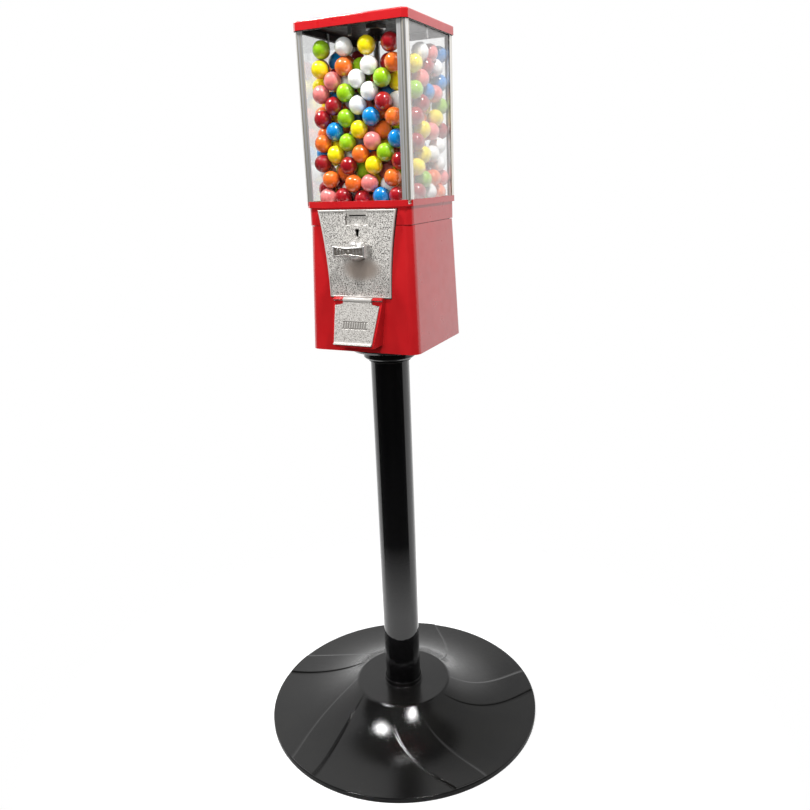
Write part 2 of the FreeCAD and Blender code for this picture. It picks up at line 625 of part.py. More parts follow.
def make_globe():
    """Four bright corner posts and four clear panels between a red frame and the lid's inner frame."""
    height = "frame_top - housing_top"
    ring = prism("frame_outside", "XY", square("frame_half", "chamfer_leg"), "housing_top", height)
    lower = bar("frame_bore", "77.6", "housing_top - 5", "frame_top + 5")
    rebate = bar("frame_rebate", "glass_face + 0.2", "glass_low - 0.1", "frame_top + 5")
    node("globe_frame", cut("globe_frame", ring, lower, rebate))

    top = prism("top_outside", "XY", square("globe_half - 0.1", "chamfer_leg"), "lid_low - 0.1", "7.9")
    bore = bar("top_bore", "77", "lid_low - 10", "lid_top + 10")
    groove_inner = bar("groove_inside", "glass_face - glass_thick - 0.2", "lid_low - 2", "glass_top + 1")
    groove = cut("top_groove", bar("groove_outside", "glass_face + 0.2", "lid_low - 1", "glass_top + 0.2"),
                 groove_inner)
    node("top_frame", cut("top_frame", top, bore, groove))

    names = ("front_left", "front_right", "back_right", "back_left")
    height = "lid_low - 0.1 - frame_top"
    inner, outer, core, face = "post_leg - globe_half", "-globe_half", "-post_core", "-glass_face - 0.1"
    rounded = f"{outer} + post_round"
    for i, name in enumerate(names):
        section = [
            (outer, inner), (outer, rounded, "post_round"), (rounded, outer), (inner, outer),
            (inner, face), (core, face), (core, core), (face, core), (face, inner)]
        post = prism("post_" + name, "XY", section, "frame_top", height)
        post.Placement.Rotation = Rotation(Vector(0, 0, 1), 90 * i)
        node("corner_post_" + name, post)

    clips = []
    for i, name in enumerate(("front", "right", "back", "left")):
        panel = block("glass_" + name, ("-glass_half", "glass_half"),
                      ("-glass_face", "-glass_face + glass_thick"), ("glass_low", "glass_top"))
        panel.Placement.Rotation = Rotation(Vector(0, 0, 1), 90 * i)
        turn = 90 * i
        panel.setExpression("Placement.Base.x", full(f"-glass_half * cos({turn}) + glass_face * sin({turn})"))
        panel.setExpression("Placement.Base.y", full(f"-glass_half * sin({turn}) - glass_face * cos({turn})"))
        node("panel_" + name, panel)
        clip = prism("clip_" + name, "YZ", [
            ("-77.9", "1086"), ("-76.9", "1084.5"), ("-76.1", "1086"), ("-75.9", "1105"), ("-76.9", "1105"),
            ("-76.9", "1090")], "-2.5", "5")
        clip.Placement.Rotation = Rotation(Vector(0, 0, 1), 90 * i)
        clips.append(clip)
    node("panel_clips", group("panel_clips", clips))


def make_lid():
    """Pressed red lid with a key lock that screws down on the centre rod."""
    cap = prism("lid_outside", "XY", square("lid_half", "chamfer_leg"), "lid_low", "lid_top - lid_low")
    soften(cap, "lid_round", at_height(number("lid_top")))
    roof, inner, low = "lid_top - lid_roof", "lid_half - lid_sheet", "lid_low - 5"
    room = bar("lid_room", inner, low, roof)
    corner_room = prism("lid_corner_room", "XY", square(inner, "chamfer_leg"), "lid_low - 6", "30")
    corners = cut("lid_corners", bar("lid_corner_square", "lid_half", low, roof), corner_room)
    hole = cylinder("lock_hole", "lock_radius + 0.05", "40", z="lid_top - 20")
    node("lid", cut("lid", cap, cut("lid_hollow", room, corners), hole))

    bore, face = "plug_radius + 0.05", "lid_top + lock_rise"
    node("lock_body", turned("lock_barrel", [
        (bore, "lock_low"), ("lock_radius", "lock_low"), ("lock_radius", "lid_top"),
        ("lock_flange", "lid_top"),
        ("lock_flange", "lid_top + 1.6"), ("lock_flange - 1.4", face), (bore, face)]))
    nut = hexagon("lock_nut_hex", "27", "4", z=f"{roof} - 4")
    node("lock_nut", cut("lock_nut", nut, cylinder("lock_nut_bore", "lock_radius + 0.02", "20", z="1095")))
    thread, wide, flat = "rod_radius + 0.06", "plug_radius + 2", "lock_low - 0.1"
    plug = turned("plug", [
        ("0", "rod_top + 1.5"), (thread, "rod_top + 0.5"), (thread, "lock_low - 1.5"),
        (wide, "lock_low - 1.5"), (wide, flat), ("plug_radius", flat), ("plug_radius", face), ("0", face)])
    keyway = block("keyway", ("-0.9", "0.9"), ("-4.2", "4.2"), ("lid_top - 2", "lid_top + 5"))
    node("lock_plug", cut("lock_plug", plug, keyway))


# ---------------------------------------------------------------- coin mechanism
def make_plate():
    """Die-cast coin plate with a raised border, the coin recess with its scoop, and a viewing hole."""
    back = "plate_face - plate_thick"
    blank = prism("plate_blank", "XZ", plate_outline("plate_low", "plate_top"), back, "plate_thick")
    sunk = plate_outline("plate_low + 2", "plate_top - plate_border", "-plate_border")
    field = prism("plate_field", "XZ", sunk, "plate_face - plate_sink", "5")
    recess = block("coin_recess", ("-recess_half", "recess_half"),
                   ("-plate_face - 5", "-plate_face + recess_depth"), ("recess_low", "recess_top"))
    scoop = prism("coin_scoop", "YZ", [
        ("-plate_face - 1", "recess_top + 10"), ("-plate_face + recess_depth", "recess_top"),
        ("-plate_face + recess_depth", "recess_top - 1"), ("-plate_face - 1", "recess_top - 1")],
        "-scoop_half", "2 * scoop_half")
    slot = block("coin_slot", ("-slot_half", "slot_half"), ("-plate_face - 1", f"-({back}) + 1"),
                 ("recess_top", "recess_top + slot_height"))
    peep = prism("peep_hole", "XZ", [("-1.8", "829.3"), ("1.8", "829.3"), ("3.35", "840"), ("-3.35", "840")],
                 "70", "30")
    bore = cylinder("plate_bore", "shaft_radius + 0.08", "30", "0", "-plate_face - 5", "axis_height",
                    along="Y")
    tapped = [cylinder(f"plate_tap{i}", "1.52", "2.6", x, f"-({back}) - 2.5", z, along="Y")
              for i, (x, z) in enumerate(MECH_CORNERS)]
    node("coin_plate", cut("coin_plate", blank, field, recess, scoop, slot, peep, bore, *tapped))


def make_mechanism():
    """Frame behind the plate, the coin and ratchet wheels on their shaft, the pinion and the pawl."""
    face = "-(plate_face - plate_thick)"
    width = ("-mech_half", "mech_half")
    frame = block("mech_block", width, (face, "-mech_back"), ("mech_low", "mech_top"))
    drum = cylinder("mech_drum", "coin_wheel_radius + 1.2", "30", "0", "-90", "axis_height", along="Y")
    exit_slot = block("coin_exit", ("-15", "15"), ("-90", "-60"), ("mech_low - 5", "axis_height - 20"))
    entry = block("coin_entry", ("-slot_half", "slot_half"), ("-90", f"{face} + 2.8"),
                  ("axis_height + 20", "recess_top + slot_height + 1"))
    tower = block("rear_room", ("-27", "27"), (f"{face} + 4", "-60"), ("855", "mech_top + 1"))
    pawl_room = block("pawl_room", ("12", "37"), ("-77.2", "-60"), ("830", "853"))
    screw_holes = [cylinder(f"mech_hole{i}", "1.6", "30", x, "-85", z, along="Y")
                   for i, (x, z) in enumerate(MECH_CORNERS)]
    lip_screws = ("-lip_screw_x", "lip_screw_x")
    lip_taps = [cylinder(f"mech_tap{i}", "1.72", "9", x, "-lip_screw_y", "mech_top - 8")
                for i, x in enumerate(lip_screws)]
    rooms = [drum, exit_slot, entry, tower, pawl_room, *screw_holes, *lip_taps]
    node("mech_frame", cut("mech_frame", frame, *rooms))

    inner_face = "-mech_back + back_thick"
    back = block("back_sheet", width, ("-mech_back", inner_face), ("mech_low", "back_top"))
    bearing = cylinder("back_bearing", "shaft_radius + 0.08", "10", "0", "-mech_back - 5", "axis_height",
                       along="Y")
    back_holes = [cylinder(f"back_hole{i}", "1.6", "10", x, "-mech_back - 5", z, along="Y")
                  for i, (x, z) in enumerate(MECH_CORNERS)]
    pivot_hole = cylinder("pivot_hole", "1.5", "10", "pivot_x", "-mech_back - 5", "pivot_z", along="Y")
    node("mech_back", cut("mech_back", back, bearing, pivot_hole, *back_holes))

    screws = []
    for i, (x, z) in enumerate(MECH_CORNERS):
        shank = cylinder(f"mech_screw{i}", "1.5", "17.8", x, f"{face} - 2.3", z, along="Y")
        head = cylinder(f"mech_screw_head{i}", "2.9", "0.6", x, inner_face, z, along="Y")
        screws.append(fuse(f"mech_screw_whole{i}", shank, head))
    node("mech_screws", group("mech_screws", screws))
    mounts = []
    for i, x in enumerate(lip_screws):
        shank = cylinder(f"mount_screw{i}", "1.7", "8.6", x, "-lip_screw_y", "housing_top - 1.6 - 8.6")
        head = cylinder(f"mount_head{i}", "3.5", "1.5", x, "-lip_screw_y", "housing_top - 1.6")
        mounts.append(fuse(f"mount_screw_whole{i}", shank, head))
    node("mount_screws", group("mount_screws", mounts))

    bore = "shaft_radius + 0.02"
    wheel = turned("coin_disc", [
        ("-80.1", bore), ("-80.1", "coin_wheel_radius"), ("-77.4", "coin_wheel_radius"), ("-77.4", bore)],
        upright=False)
    pocket_height = "axis_height + coin_offset"
    seat = cylinder("coin_seat", "coin_radius", "30", "0", "-95", pocket_height, along="Y")
    throat = block("coin_throat", ("-coin_radius", "coin_radius"), ("-95", "-70"),
                   (pocket_height, "axis_height + 60"))
    node("coin_wheel", cut("coin_wheel", wheel, seat, throat))

    ratchet = turned("ratchet_disc", [
        ("-77", bore), ("-77", "ratchet_tip"), ("-73.6", "ratchet_tip"), ("-73.6", bore)], upright=False)
    count = int(number("ratchet_teeth"))
    notches = []
    for i in range(count):
        # each notch drops square from the tip circle and runs out along a slope
        steep, shallow = 360 / count * i, 360 / count * i + 13
        beyond = "(ratchet_tip + 2)"
        notch = prism(f"notch{i}", "XZ", [
            (f"ratchet_root * cos({steep})", f"axis_height + ratchet_root * sin({steep})"),
            (f"{beyond} * cos({steep})", f"axis_height + {beyond} * sin({steep})"),
            (f"{beyond} * cos({shallow})", f"axis_height + {beyond} * sin({shallow})")], "70", "10")
        notches.append(notch)
    node("ratchet_wheel", cut("ratchet_wheel", ratchet, fuse("notches", *notches)))

    narrow = "shaft_radius - 0.6"
    node("drive_shaft", turned("shaft", [
        ("-106", "0"), ("-106", narrow), ("-105.4", "shaft_radius"), ("-51.6", "shaft_radius"),
        ("-51", narrow), ("-51", "0")], upright=False))
    node("retaining_ring", turned("ring", [
        ("-64.6", bore), ("-64.6", "8"), ("-63.4", "8"), ("-63.4", bore)], upright=False))


def make_pinion():
    """Ten-tooth pinion that drives the product wheel's face teeth."""
    teeth, module = int(number("pinion_teeth")), number("gear_module")
    pitch_radius = module * teeth / 2
    pitch = math.tau / teeth
    root, tip = pitch_radius - 1.3 * module, pitch_radius + 0.9 * module
    # one flank from root to tip: radius, and half the tooth's width there as a share of the pitch
    flank = [(root, 0.20), (pitch_radius, 0.105), (tip, 0.045)]
    profile = []
    for i in range(teeth):
        middle = math.pi / 2 + i * pitch
        for side, steps in ((-1, flank), (1, flank[::-1])):
            for radius, half in steps:
                profile.append((radius, middle + side * half * pitch * pitch_radius / radius))
    axis = number("axis_height")
    spots = [Vector(r * math.cos(a), -number("pinion_front"), axis + r * math.sin(a)) for r, a in profile]
    blank = doc.addObject("Part::Feature", "pinion_blank")
    blank.Shape = Part.Face(Part.makePolygon(spots + spots[:1])).extrude(Vector(0, number("pinion_width"), 0))
    bore = cylinder("pinion_bore", "shaft_radius + 0.02", "40", "0", "-80", "axis_height", along="Y")
    node("drive_pinion", cut("drive_pinion", blank, bore))


def make_pawl():
    """Spring pawl that stops the handle from being turned back."""
    arm = prism("pawl_arm", "XZ", [
        ("29.2", "844.5"), ("16.6", "835"), ("15.9", "832.9"), ("21", "835.4"), ("31.5", "839.3"),
        ("36.5", "841.5"), ("36", "846")], "73.8", "2.8")
    boss = cylinder("pawl_boss", "3.6", "2.8", "pivot_x", "-76.6", "pivot_z", along="Y")
    bore = cylinder("pawl_bore", "1.56", "20", "pivot_x", "-85", "pivot_z", along="Y")
    node("coin_pawl", cut("coin_pawl", fuse("pawl", arm, boss), bore))
    node("pawl_pivot", cylinder("pawl_pin", "1.5", "11.4", "pivot_x", "-76.8", "pivot_z", along="Y"))


def make_handle():
    """Cast bow-tie handle on a round hub, with a sunk panel of plain bars on its face."""
    hub = turned("hub", [
        ("-handle_back", "shaft_radius + 0.02"), ("-handle_back + 4.6", "shaft_radius + 0.02"),
        ("-handle_back + 4.6", "15.2"), ("-handle_back", "14.4"), ("-98", "12.5"), ("-100", "11"),
        ("-100", "shaft_radius + 0.02")], upright=False)
    waist, rise, span = "handle_waist", "handle_rise", "handle_span"
    up, down = f"axis_height + {rise}", f"axis_height - {rise}"
    wing = prism("wing", "XZ", [
        (f"-{span}", down), ("0", f"axis_height - {waist}"), (span, down), (span, up),
        ("0", f"axis_height + {waist}"), (f"-{span}", up)], "wing_back", "handle_face - wing_back")
    soften(wing, "1.4", lambda edge: abs(edge.Vertexes[0].Y - edge.Vertexes[-1].Y) > 5)
    end, floor, top = f"({span} - handle_rim)", f"{down} + handle_rim", f"{up} - handle_rim"
    panel = prism("panel", "XZ", [
        (f"-{end}", floor), ("0", f"axis_height - {waist} + 2"), (end, floor),
        (end, top), ("0", f"axis_height + {waist} - 2"), (f"-{end}", top)],
        "handle_face - handle_sink", "5")
    ribs = [block(f"rib{i}", (f"{x} - 1", f"{x} + 1"), ("-handle_face + 0.2", "-handle_face + 1.2"),
                  ("axis_height - 2.8", "axis_height + 2.8")) for i, x in enumerate((-16, -10, 10, 16))]
    bore = cylinder("handle_bore", "shaft_radius + 0.02", "20.1", "0", "-106.1", "axis_height", along="Y")
    whole = fuse("handle_blank", hub, wing)
    node("handle", fuse("handle", cut("handle_cut", whole, panel, bore), *ribs))


def make_spring():
    """Wire spring that holds the pawl down on the ratchet."""
    foot, bend, tip = Vector(34.5, -75.2, 846.8), Vector(29, -75.2, 849.6), Vector(22, -75.2, 848.2)
    wire = Part.Wire(Part.makePolygon([foot, bend, tip]).Edges)
    section = Part.Wire(Part.makeCircle(0.4, foot, bend - foot))
    spring = doc.addObject("Part::Feature", "spring_wire")
    spring.Shape = wire.makePipeShell([section], True, False, 2)
    node("pawl_spring", spring)


# ---------------------------------------------------------------- gumballs
# how the loose balls are shared out between the colours
BALL_COLOURS = {"crimson": 19, "orange": 15, "yellow": 14, "lime": 11, "blue": 10, "pink": 15, "white": 16}
# the balls against the front panel from left to right and against the right panel from front to back,
# a row at a time from the top, with a dash where a ball behind shows through
FRONT_ROWS = [
    "lime white yellow crimson", "yellow orange white orange", "pink white lime", "pink lime white -",
    "crimson white crimson", "crimson lime blue orange", "blue yellow -", "orange lime pink blue",
    "yellow orange lime", "crimson crimson yellow crimson", "orange orange pink orange",
    "pink crimson crimson blue crimson",
]
RIGHT_ROWS = [
    "white pink blue", "yellow crimson white", "pink - blue", "lime blue pink", "crimson - lime",
    "crimson - yellow", "yellow pink crimson", "crimson - white", "yellow white -", "yellow - white",
    "lime orange pink", "crimson white orange",
]
# the height of the lowest row, and how far each row stands above the one below
LOW_ROW = 886
ROW_STEP = 16.6
# how far the loose balls keep behind that layer, and the share of a push that an outer ball takes
LAYER_DEPTH = 17
OUTER_SHARE = 0.1


class Ball:
    """One gumball: its centre, its colour, and whether it belongs to the outer layer."""

    def __init__(self, spot, colour, outer):
        self.spot = list(spot)
        self.colour = colour
        self.outer = outer


def keep_inside(ball, room):
    """Move one ball clear of the panels, rod, funnel, wheel and brush cover."""
    radius, wall, rod = room["radius"], room["wall"], room["rod"]
    well, foot, rise, run = room["well"], room["foot"], room["rise"], room["run"]
    rim = foot + rise
    inset = 0 if ball.outer else room["inset"]
    x = min(max(ball.spot[0], -wall), wall - inset)
    y = min(max(ball.spot[1], inset - wall), wall)
    z = min(max(ball.spot[2], room["floor"] + radius), room["ceiling"])
    away = math.hypot(x, y)
    if away < rod:
        x, y = x * rod / max(away, 0.01), y * rod / max(away, 0.01)
        away = rod
    if z < rim + radius:
        # the funnel in section: well wall, sloping cone, flat flange
        funnel = [(well, room["floor"] - 20), (well, foot), (well + run, rim), (well + 60, rim)]
        nearest = None
        for (r1, z1), (r2, z2) in zip(funnel, funnel[1:]):
            across, climb = r2 - r1, z2 - z1
            along = ((away - r1) * across + (z - z1) * climb) / (across * across + climb * climb)
            along = min(max(along, 0), 1)
            out, up = away - r1 - along * across, z - z1 - along * climb
            if nearest is None or math.hypot(out, up) < nearest[0]:
                nearest = (math.hypot(out, up), out, up)
        gap, out, up = nearest
        over_cone = z - foot > (away - well) * rise / run
        free = away < well or (z > rim if away > well + run else over_cone)
        if not free or gap < radius:
            grow = (radius - gap if free else -radius - gap) / max(gap, 0.01)
            moved = away + out * grow
            x, y = x * moved / away, y * moved / away
            z += up * grow
    gaps = [v - min(max(v, low), high) for v, (low, high) in zip((x, y, z), room["cover"])]
    gap = math.sqrt(sum(g * g for g in gaps))
    if gap < 0.01:
        z += 2
    elif gap < radius:
        grow = (radius - gap) / gap
        x, y, z = x + gaps[0] * grow, y + gaps[1] * grow, z + gaps[2] * grow
    ball.spot[:] = x, y, z


def shift(ball, room):
    """How far a ball still has to move to clear everything round it."""
    before = list(ball.spot)
    keep_inside(ball, room)
    return math.dist(before, ball.spot)


def close_pairs(balls, cell, margin):
    """Pairs of balls that touch or nearly do, the lowest first, with the lower ball of each pair first."""
    cells = {}
    for i, ball in enumerate(balls):
        cells.setdefault(tuple(int(v // cell) for v in ball.spot), []).append(i)
    steps = (-1, 0, 1)
    reach = [(i, j, k) for i in steps for j in steps for k in steps]
    limit = (cell + margin) ** 2
    pairs = []
    for (cx, cy, cz), members in cells.items():
        near = [j for dx, dy, dz in reach for j in cells.get((cx + dx, cy + dy, cz + dz), ())]
        for i in members:
            p = balls[i].spot
            for j in near:
                q = balls[j].spot
                if j > i and (p[0] - q[0]) ** 2 + (p[1] - q[1]) ** 2 + (p[2] - q[2]) ** 2 < limit:
                    pair = (balls[i], balls[j])
                    pairs.append(pair if p[2] < q[2] else pair[::-1])
    return sorted(pairs, key=lambda pair: pair[0].spot[2])


def part_balls(pairs, cell, lower_share, outer_share):
    """Push overlapping balls apart. Returns the worst overlap found.

    The lower ball takes lower_share of the push; an outer ball beside a loose one takes outer_share.
    """
    worst = 0
    for one, other in pairs:
        p, q = one.spot, other.spot
        apart = [b - a for a, b in zip(p, q)]
        gap = math.sqrt(sum(v * v for v in apart)) or 0.01
        if gap < cell:
            share = lower_share
            if one.outer != other.outer:
                share = outer_share if one.outer else 1 - outer_share
            overlap = cell - gap
            worst = max(worst, overlap)
            for k in range(3):
                p[k] -= apart[k] * share * overlap / gap
                q[k] += apart[k] * (1 - share) * overlap / gap
    return worst


def outer_layer(wall):
    """The balls of the written rows, spread evenly along the front and right panels."""
    balls = []
    for panel, rows in (("front", FRONT_ROWS), ("right", RIGHT_ROWS)):
        for i, names in enumerate(row.split() for row in rows):
            z = LOW_ROW + ROW_STEP * (len(rows) - 1 - i)
            odd = i % 2
            first, last = (-1.55 * wall / 2, 1.6 * wall / 2)
            if panel == "right":
                first, last = (-22, 56) if odd else (0, wall)
            elif len(names) == 3:
                first, last = -38, 40
            for k, name in enumerate(names):
                along = first + (last - first) * k / (len(names) - 1)
                spot = (along, -wall, z) if panel == "front" else (wall, along, z)
                if name != "-":
                    balls.append(Ball(spot, name, True))
    return balls


def settle_balls():
    """Drop the loose gumballs behind the outer layer and push all of them apart until none overlap."""
    rng = random.Random(7)
    radius = number("ball_radius") + 0.06
    cell = 2 * radius
    wall = number("glass_face - glass_thick") - 0.25 - radius
    half = number("cover_half") + 0.5
    room = {
        "radius": radius, "wall": wall, "rod": number("rod_radius") + 0.8 + radius,
        "well": number("well_radius"), "floor": number("wheel_top") + 0.6, "foot": number("cone_foot"),
        "rise": number("cone_rise"), "run": number("cone_run"), "inset": LAYER_DEPTH,
        "ceiling": number("ball_ceiling"),
        "cover": ((-half, half), (-62, -15), (number("wheel_top - 5"), number("cover_top + 0.5"))),
    }
    names, shares = list(BALL_COLOURS), list(BALL_COLOURS.values())
    balls = outer_layer(wall)
    for step in range(200):
        pairs = close_pairs(balls, cell, 2)
        part_balls(pairs, cell, 0.5, 0.5)
        for ball in balls:
            keep_inside(ball, room)
    for i in range(int(number("ball_count"))):
        column, row, layer = i % 4, i // 4 % 4, i // 16
        x = -52 + column * 28 + rng.uniform(-6, 6)
        y = -34 + row * 28 + rng.uniform(-6, 6)
        spot = (x, y, 878 + layer * 23 + rng.uniform(-5, 5))
        balls.append(Ball(spot, rng.choices(names, shares)[0], False))
    for step in range(230):
        for ball in balls:
            if not ball.outer:
                ball.spot[2] -= 1.2 if step < 120 else 0.35
        pairs = close_pairs(balls, cell, 1)
        for sweep in range(4):
            part_balls(pairs, cell, 0.12, 0)
            for ball in balls:
                keep_inside(ball, room)
    for step in range(1600):
        if step % 4 == 0:
            pairs = close_pairs(balls, cell, 0.6)
        early = step < 300
        worst = part_balls(pairs, cell, 0.2 if early else 0.5, OUTER_SHARE if early else 0.5)
        for ball in balls:
            keep_inside(ball, room)
        if worst < 0.04 and all(shift(ball, room) < 0.1 for ball in balls):
            break
    return balls


def make_gumballs():
    """One node per colour, each a group of balls."""
    piles = {colour: [] for colour in BALL_COLOURS}
    for ball in settle_balls():
        piles[ball.colour].append(Part.makeSphere(number("ball_radius"), Vector(*ball.spot)))
    for colour, spheres in piles.items():
        pile = doc.addObject("Part::Feature", "pile_" + colour)
        pile.Shape = Part.makeCompound(spheres)
        node("gumballs_" + colour, pile)


# ---------------------------------------------------------------- build, check and write
def build():
    bolt_holes = make_stand()
    make_cabinet(bolt_holes)
    make_chute()
    make_door()
    make_housing()
    make_pan()
    make_wheel()
    make_brush_cover()
    make_globe()
    make_lid()
    make_plate()
    make_mechanism()
    make_pinion()
    make_pawl()
    make_spring()
    make_handle()
    make_gumballs()
    doc.recompute()


def check():
    """Stop if any object failed or any sub-part has no valid solid."""
    for thing in doc.Objects:
        if "Invalid" in thing.State or "Error" in thing.State:
            raise RuntimeError(f"{thing.Label} failed: {thing.State}")
    for thing in NODES:
        shape = thing.Shape
        if shape.isNull() or not shape.isValid() or not shape.Solids:
            raise RuntimeError(f"{thing.Label} has no valid solid")
        box = shape.BoundBox
        print(f"{thing.Label:28s} solids {len(shape.Solids):3d} volume {shape.Volume:12.1f} "
              f"x {box.XMin:8.2f} {box.XMax:8.2f} y {box.YMin:8.2f} {box.YMax:8.2f} "
              f"z {box.ZMin:8.2f} {box.ZMax:8.2f}")


def write():
    os.makedirs("parts", exist_ok=True)
    for thing in NODES:
        thing.Shape.exportStep(f"parts/{thing.Label}.step")


build()
check()
write()
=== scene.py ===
"""Looks of a bulk gumball machine: glossy red head on a black cast iron stand.

Metres, +Z up, the front is -Y. Lengths in the mesh functions are millimetres until they are multiplied by MM.
"""

import math

import bmesh
import bpy
import numpy as np
from mathutils import Matrix, Vector


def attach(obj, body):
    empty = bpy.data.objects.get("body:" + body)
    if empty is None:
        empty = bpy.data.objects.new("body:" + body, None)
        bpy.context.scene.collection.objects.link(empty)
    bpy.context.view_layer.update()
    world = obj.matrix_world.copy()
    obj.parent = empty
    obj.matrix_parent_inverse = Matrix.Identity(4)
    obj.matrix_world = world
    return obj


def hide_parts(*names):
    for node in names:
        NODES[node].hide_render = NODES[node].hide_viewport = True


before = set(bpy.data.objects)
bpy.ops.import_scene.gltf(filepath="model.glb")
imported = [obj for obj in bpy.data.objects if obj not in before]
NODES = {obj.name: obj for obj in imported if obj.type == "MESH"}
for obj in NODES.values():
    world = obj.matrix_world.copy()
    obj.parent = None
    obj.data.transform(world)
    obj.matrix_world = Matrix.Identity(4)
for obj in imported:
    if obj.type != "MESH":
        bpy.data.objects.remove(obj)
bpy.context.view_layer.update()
MM = 0.001
BALL = 12.2 * MM                           # radius of a gumball
HUB, RIM, BAND_RIM = 80.5, 233.0, 231.5    # radii of the base's hub, of its edge and of the raised bands' end
BOSS, BORE = 33.0, 30.25                   # radii of the socket round the pipe and of its bore
BOSS_TOP, HUB_TOP, EDGE = 61.0, 53.0, 9.0  # heights of that socket, of the hub and of the base's edge
PLATE_LOW, PLATE_TOP = 744.4, 866.0        # heights of the coin plate's foot and head
PLATE_FACE, PLATE_BACK = 86.5, 80.5        # how far its face and its back lie in front of the middle
HANDLE_Z = 811.5                           # height of the handle's axis
HINGE_Y, HINGE_Z = -93.5, 742.5            # the chute door's hinge line


# ---------------------------------------------------------------- camera, light and floor
def make_camera():
    """The photograph's camera, solved from the square head, the round base and the pipe."""
    data = bpy.data.cameras.new("camera")
    data.sensor_width = 36
    data.lens = 33.413
    data.clip_start, data.clip_end = 0.05, 60
    camera = bpy.data.objects.new("camera", data)
    place = (0.510246, -1.025274, 0.908933)
    right = Vector((0.9072927, 0.4189504, -0.0360624)).normalized()
    forward = Vector((-0.4104838, 0.8638126, -0.2921144)).normalized()
    up = right.cross(forward).normalized()
    turn = Matrix((right, up, -forward)).transposed().to_4x4()
    camera.matrix_world = Matrix.Translation(place) @ turn
    bpy.context.scene.collection.objects.link(camera)
    bpy.context.scene.camera = camera


def make_world():
    """White behind and beside the object, dim on the side where the photographer stands."""
    world = bpy.data.worlds.new("studio")
    bpy.context.scene.world = world
    world.use_nodes = True
    world.node_tree.nodes.clear()
    sky = Graph(world.node_tree)
    x, y, z = sky.split(sky.add("ShaderNodeTexCoord").outputs["Generated"])
    height = sky.maths("MULTIPLY_ADD", z, 0.5, 0.5)
    bright = sky.ramp(height, [(0.0, 1.0), (0.5, 0.90), (0.62, 0.85), (0.75, 0.80), (0.922, 0.80),
                               (0.934, 0.015)], smooth=True)
    rightward = sky.ramp(sky.maths("ADD", x, 0.5), [(0.12, 0.0), (0.32, 1.0)], smooth=True)
    upward = sky.ramp(z, [(0.35, 0.0), (0.6, 1.0)], smooth=True)
    shade = sky.maths("MULTIPLY_ADD", sky.maths("MULTIPLY", rightward, upward), -0.45, 1.0)
    bright = sky.maths("MULTIPLY", bright, shade)
    dim = sky.ramp(height, [(0.0, 0.012), (0.5, 0.016), (0.9, 0.02), (1.0, 0.04)], smooth=True)
    front_x, front_y = 0.22, -0.975
    toward_front = sky.maths("ADD", sky.maths("MULTIPLY", x, front_x), sky.maths("MULTIPLY", y, front_y))
    share = sky.maths("MULTIPLY_ADD", toward_front, 0.5, 0.5)
    front = sky.ramp(share, [(0.0, 0.0), (0.485, 0.0), (0.515, 1.0), (1.0, 1.0)], smooth=True)

    lit = sky.add("ShaderNodeBackground")
    lit.inputs["Strength"].default_value = 1.2
    sky.feed(lit.inputs["Color"], sky.blend(front, bright, dim))
    paper = sky.add("ShaderNodeBackground")
    paper.inputs["Color"].default_value = (1, 1, 1, 1)
    seen = sky.add("ShaderNodeLightPath").outputs["Is Camera Ray"]
    both = sky.mix(seen, lit.outputs[0], paper.outputs[0])
    sky.feed(sky.add("ShaderNodeOutputWorld").inputs["Surface"], both)


def make_lamp(name, place, target, size, power, glossy=True):
    """A square lamp of so many watts at place, aimed at target; glossy says whether surfaces mirror it."""
    data = bpy.data.lights.new(name, "AREA")
    data.shape = "RECTANGLE"
    data.size, data.size_y = size
    data.energy = power
    lamp = bpy.data.objects.new(name, data)
    aim = (Vector(target) - Vector(place)).to_track_quat("-Z", "Y")
    lamp.matrix_world = Matrix.Translation(place) @ aim.to_matrix().to_4x4()
    lamp.visible_glossy = glossy
    bpy.context.scene.collection.objects.link(lamp)


def make_floor():
    """A round of pale paper that fades into the pale surroundings at its edge."""
    steps = 96
    radius = 0.66
    mesh = bpy.data.meshes.new("floor")
    angles = [math.tau * i / steps for i in range(steps)]
    ring = [(radius * math.cos(a), radius * math.sin(a), 0) for a in angles]
    mesh.from_pydata(ring, [], [list(range(steps))])
    floor = bpy.data.objects.new("floor", mesh)
    bpy.context.scene.collection.objects.link(floor)
    look = Look("floor_paper", roughness=0.9, specular=0.2)
    look.shader.inputs["Base Color"].default_value = (0.78, 0.78, 0.78, 1)
    look.shader.inputs["Emission Color"].default_value = (1, 1, 1, 1)
    look.set("emission", 0.42)
    far = look.add("ShaderNodeVectorMath", operation="LENGTH")
    look.feed(far.inputs[0], look.place)
    share = look.maths("MULTIPLY", far.outputs["Value"], 1 / radius)
    fade = look.ramp(share, [(0.0, 0), (0.50, 0), (0.98, 1)])
    clear = look.add("ShaderNodeBsdfTransparent")
    look.surface(look.mix(fade, look.shader.outputs[0], clear.outputs[0]))
    mesh.materials.append(look.material)


# ---------------------------------------------------------------- material kit
SOCKETS = {
    "colour": "Base Color", "metal": "Metallic", "roughness": "Roughness",
    "specular": "Specular IOR Level",
    "coat": "Coat Weight", "coat_roughness": "Coat Roughness", "coat_ior": "Coat IOR",
    "subsurface": "Subsurface Weight", "subsurface_scale": "Subsurface Scale",
    "subsurface_radius": "Subsurface Radius",
    "normal": "Normal", "coat_normal": "Coat Normal", "emission": "Emission Strength",
}


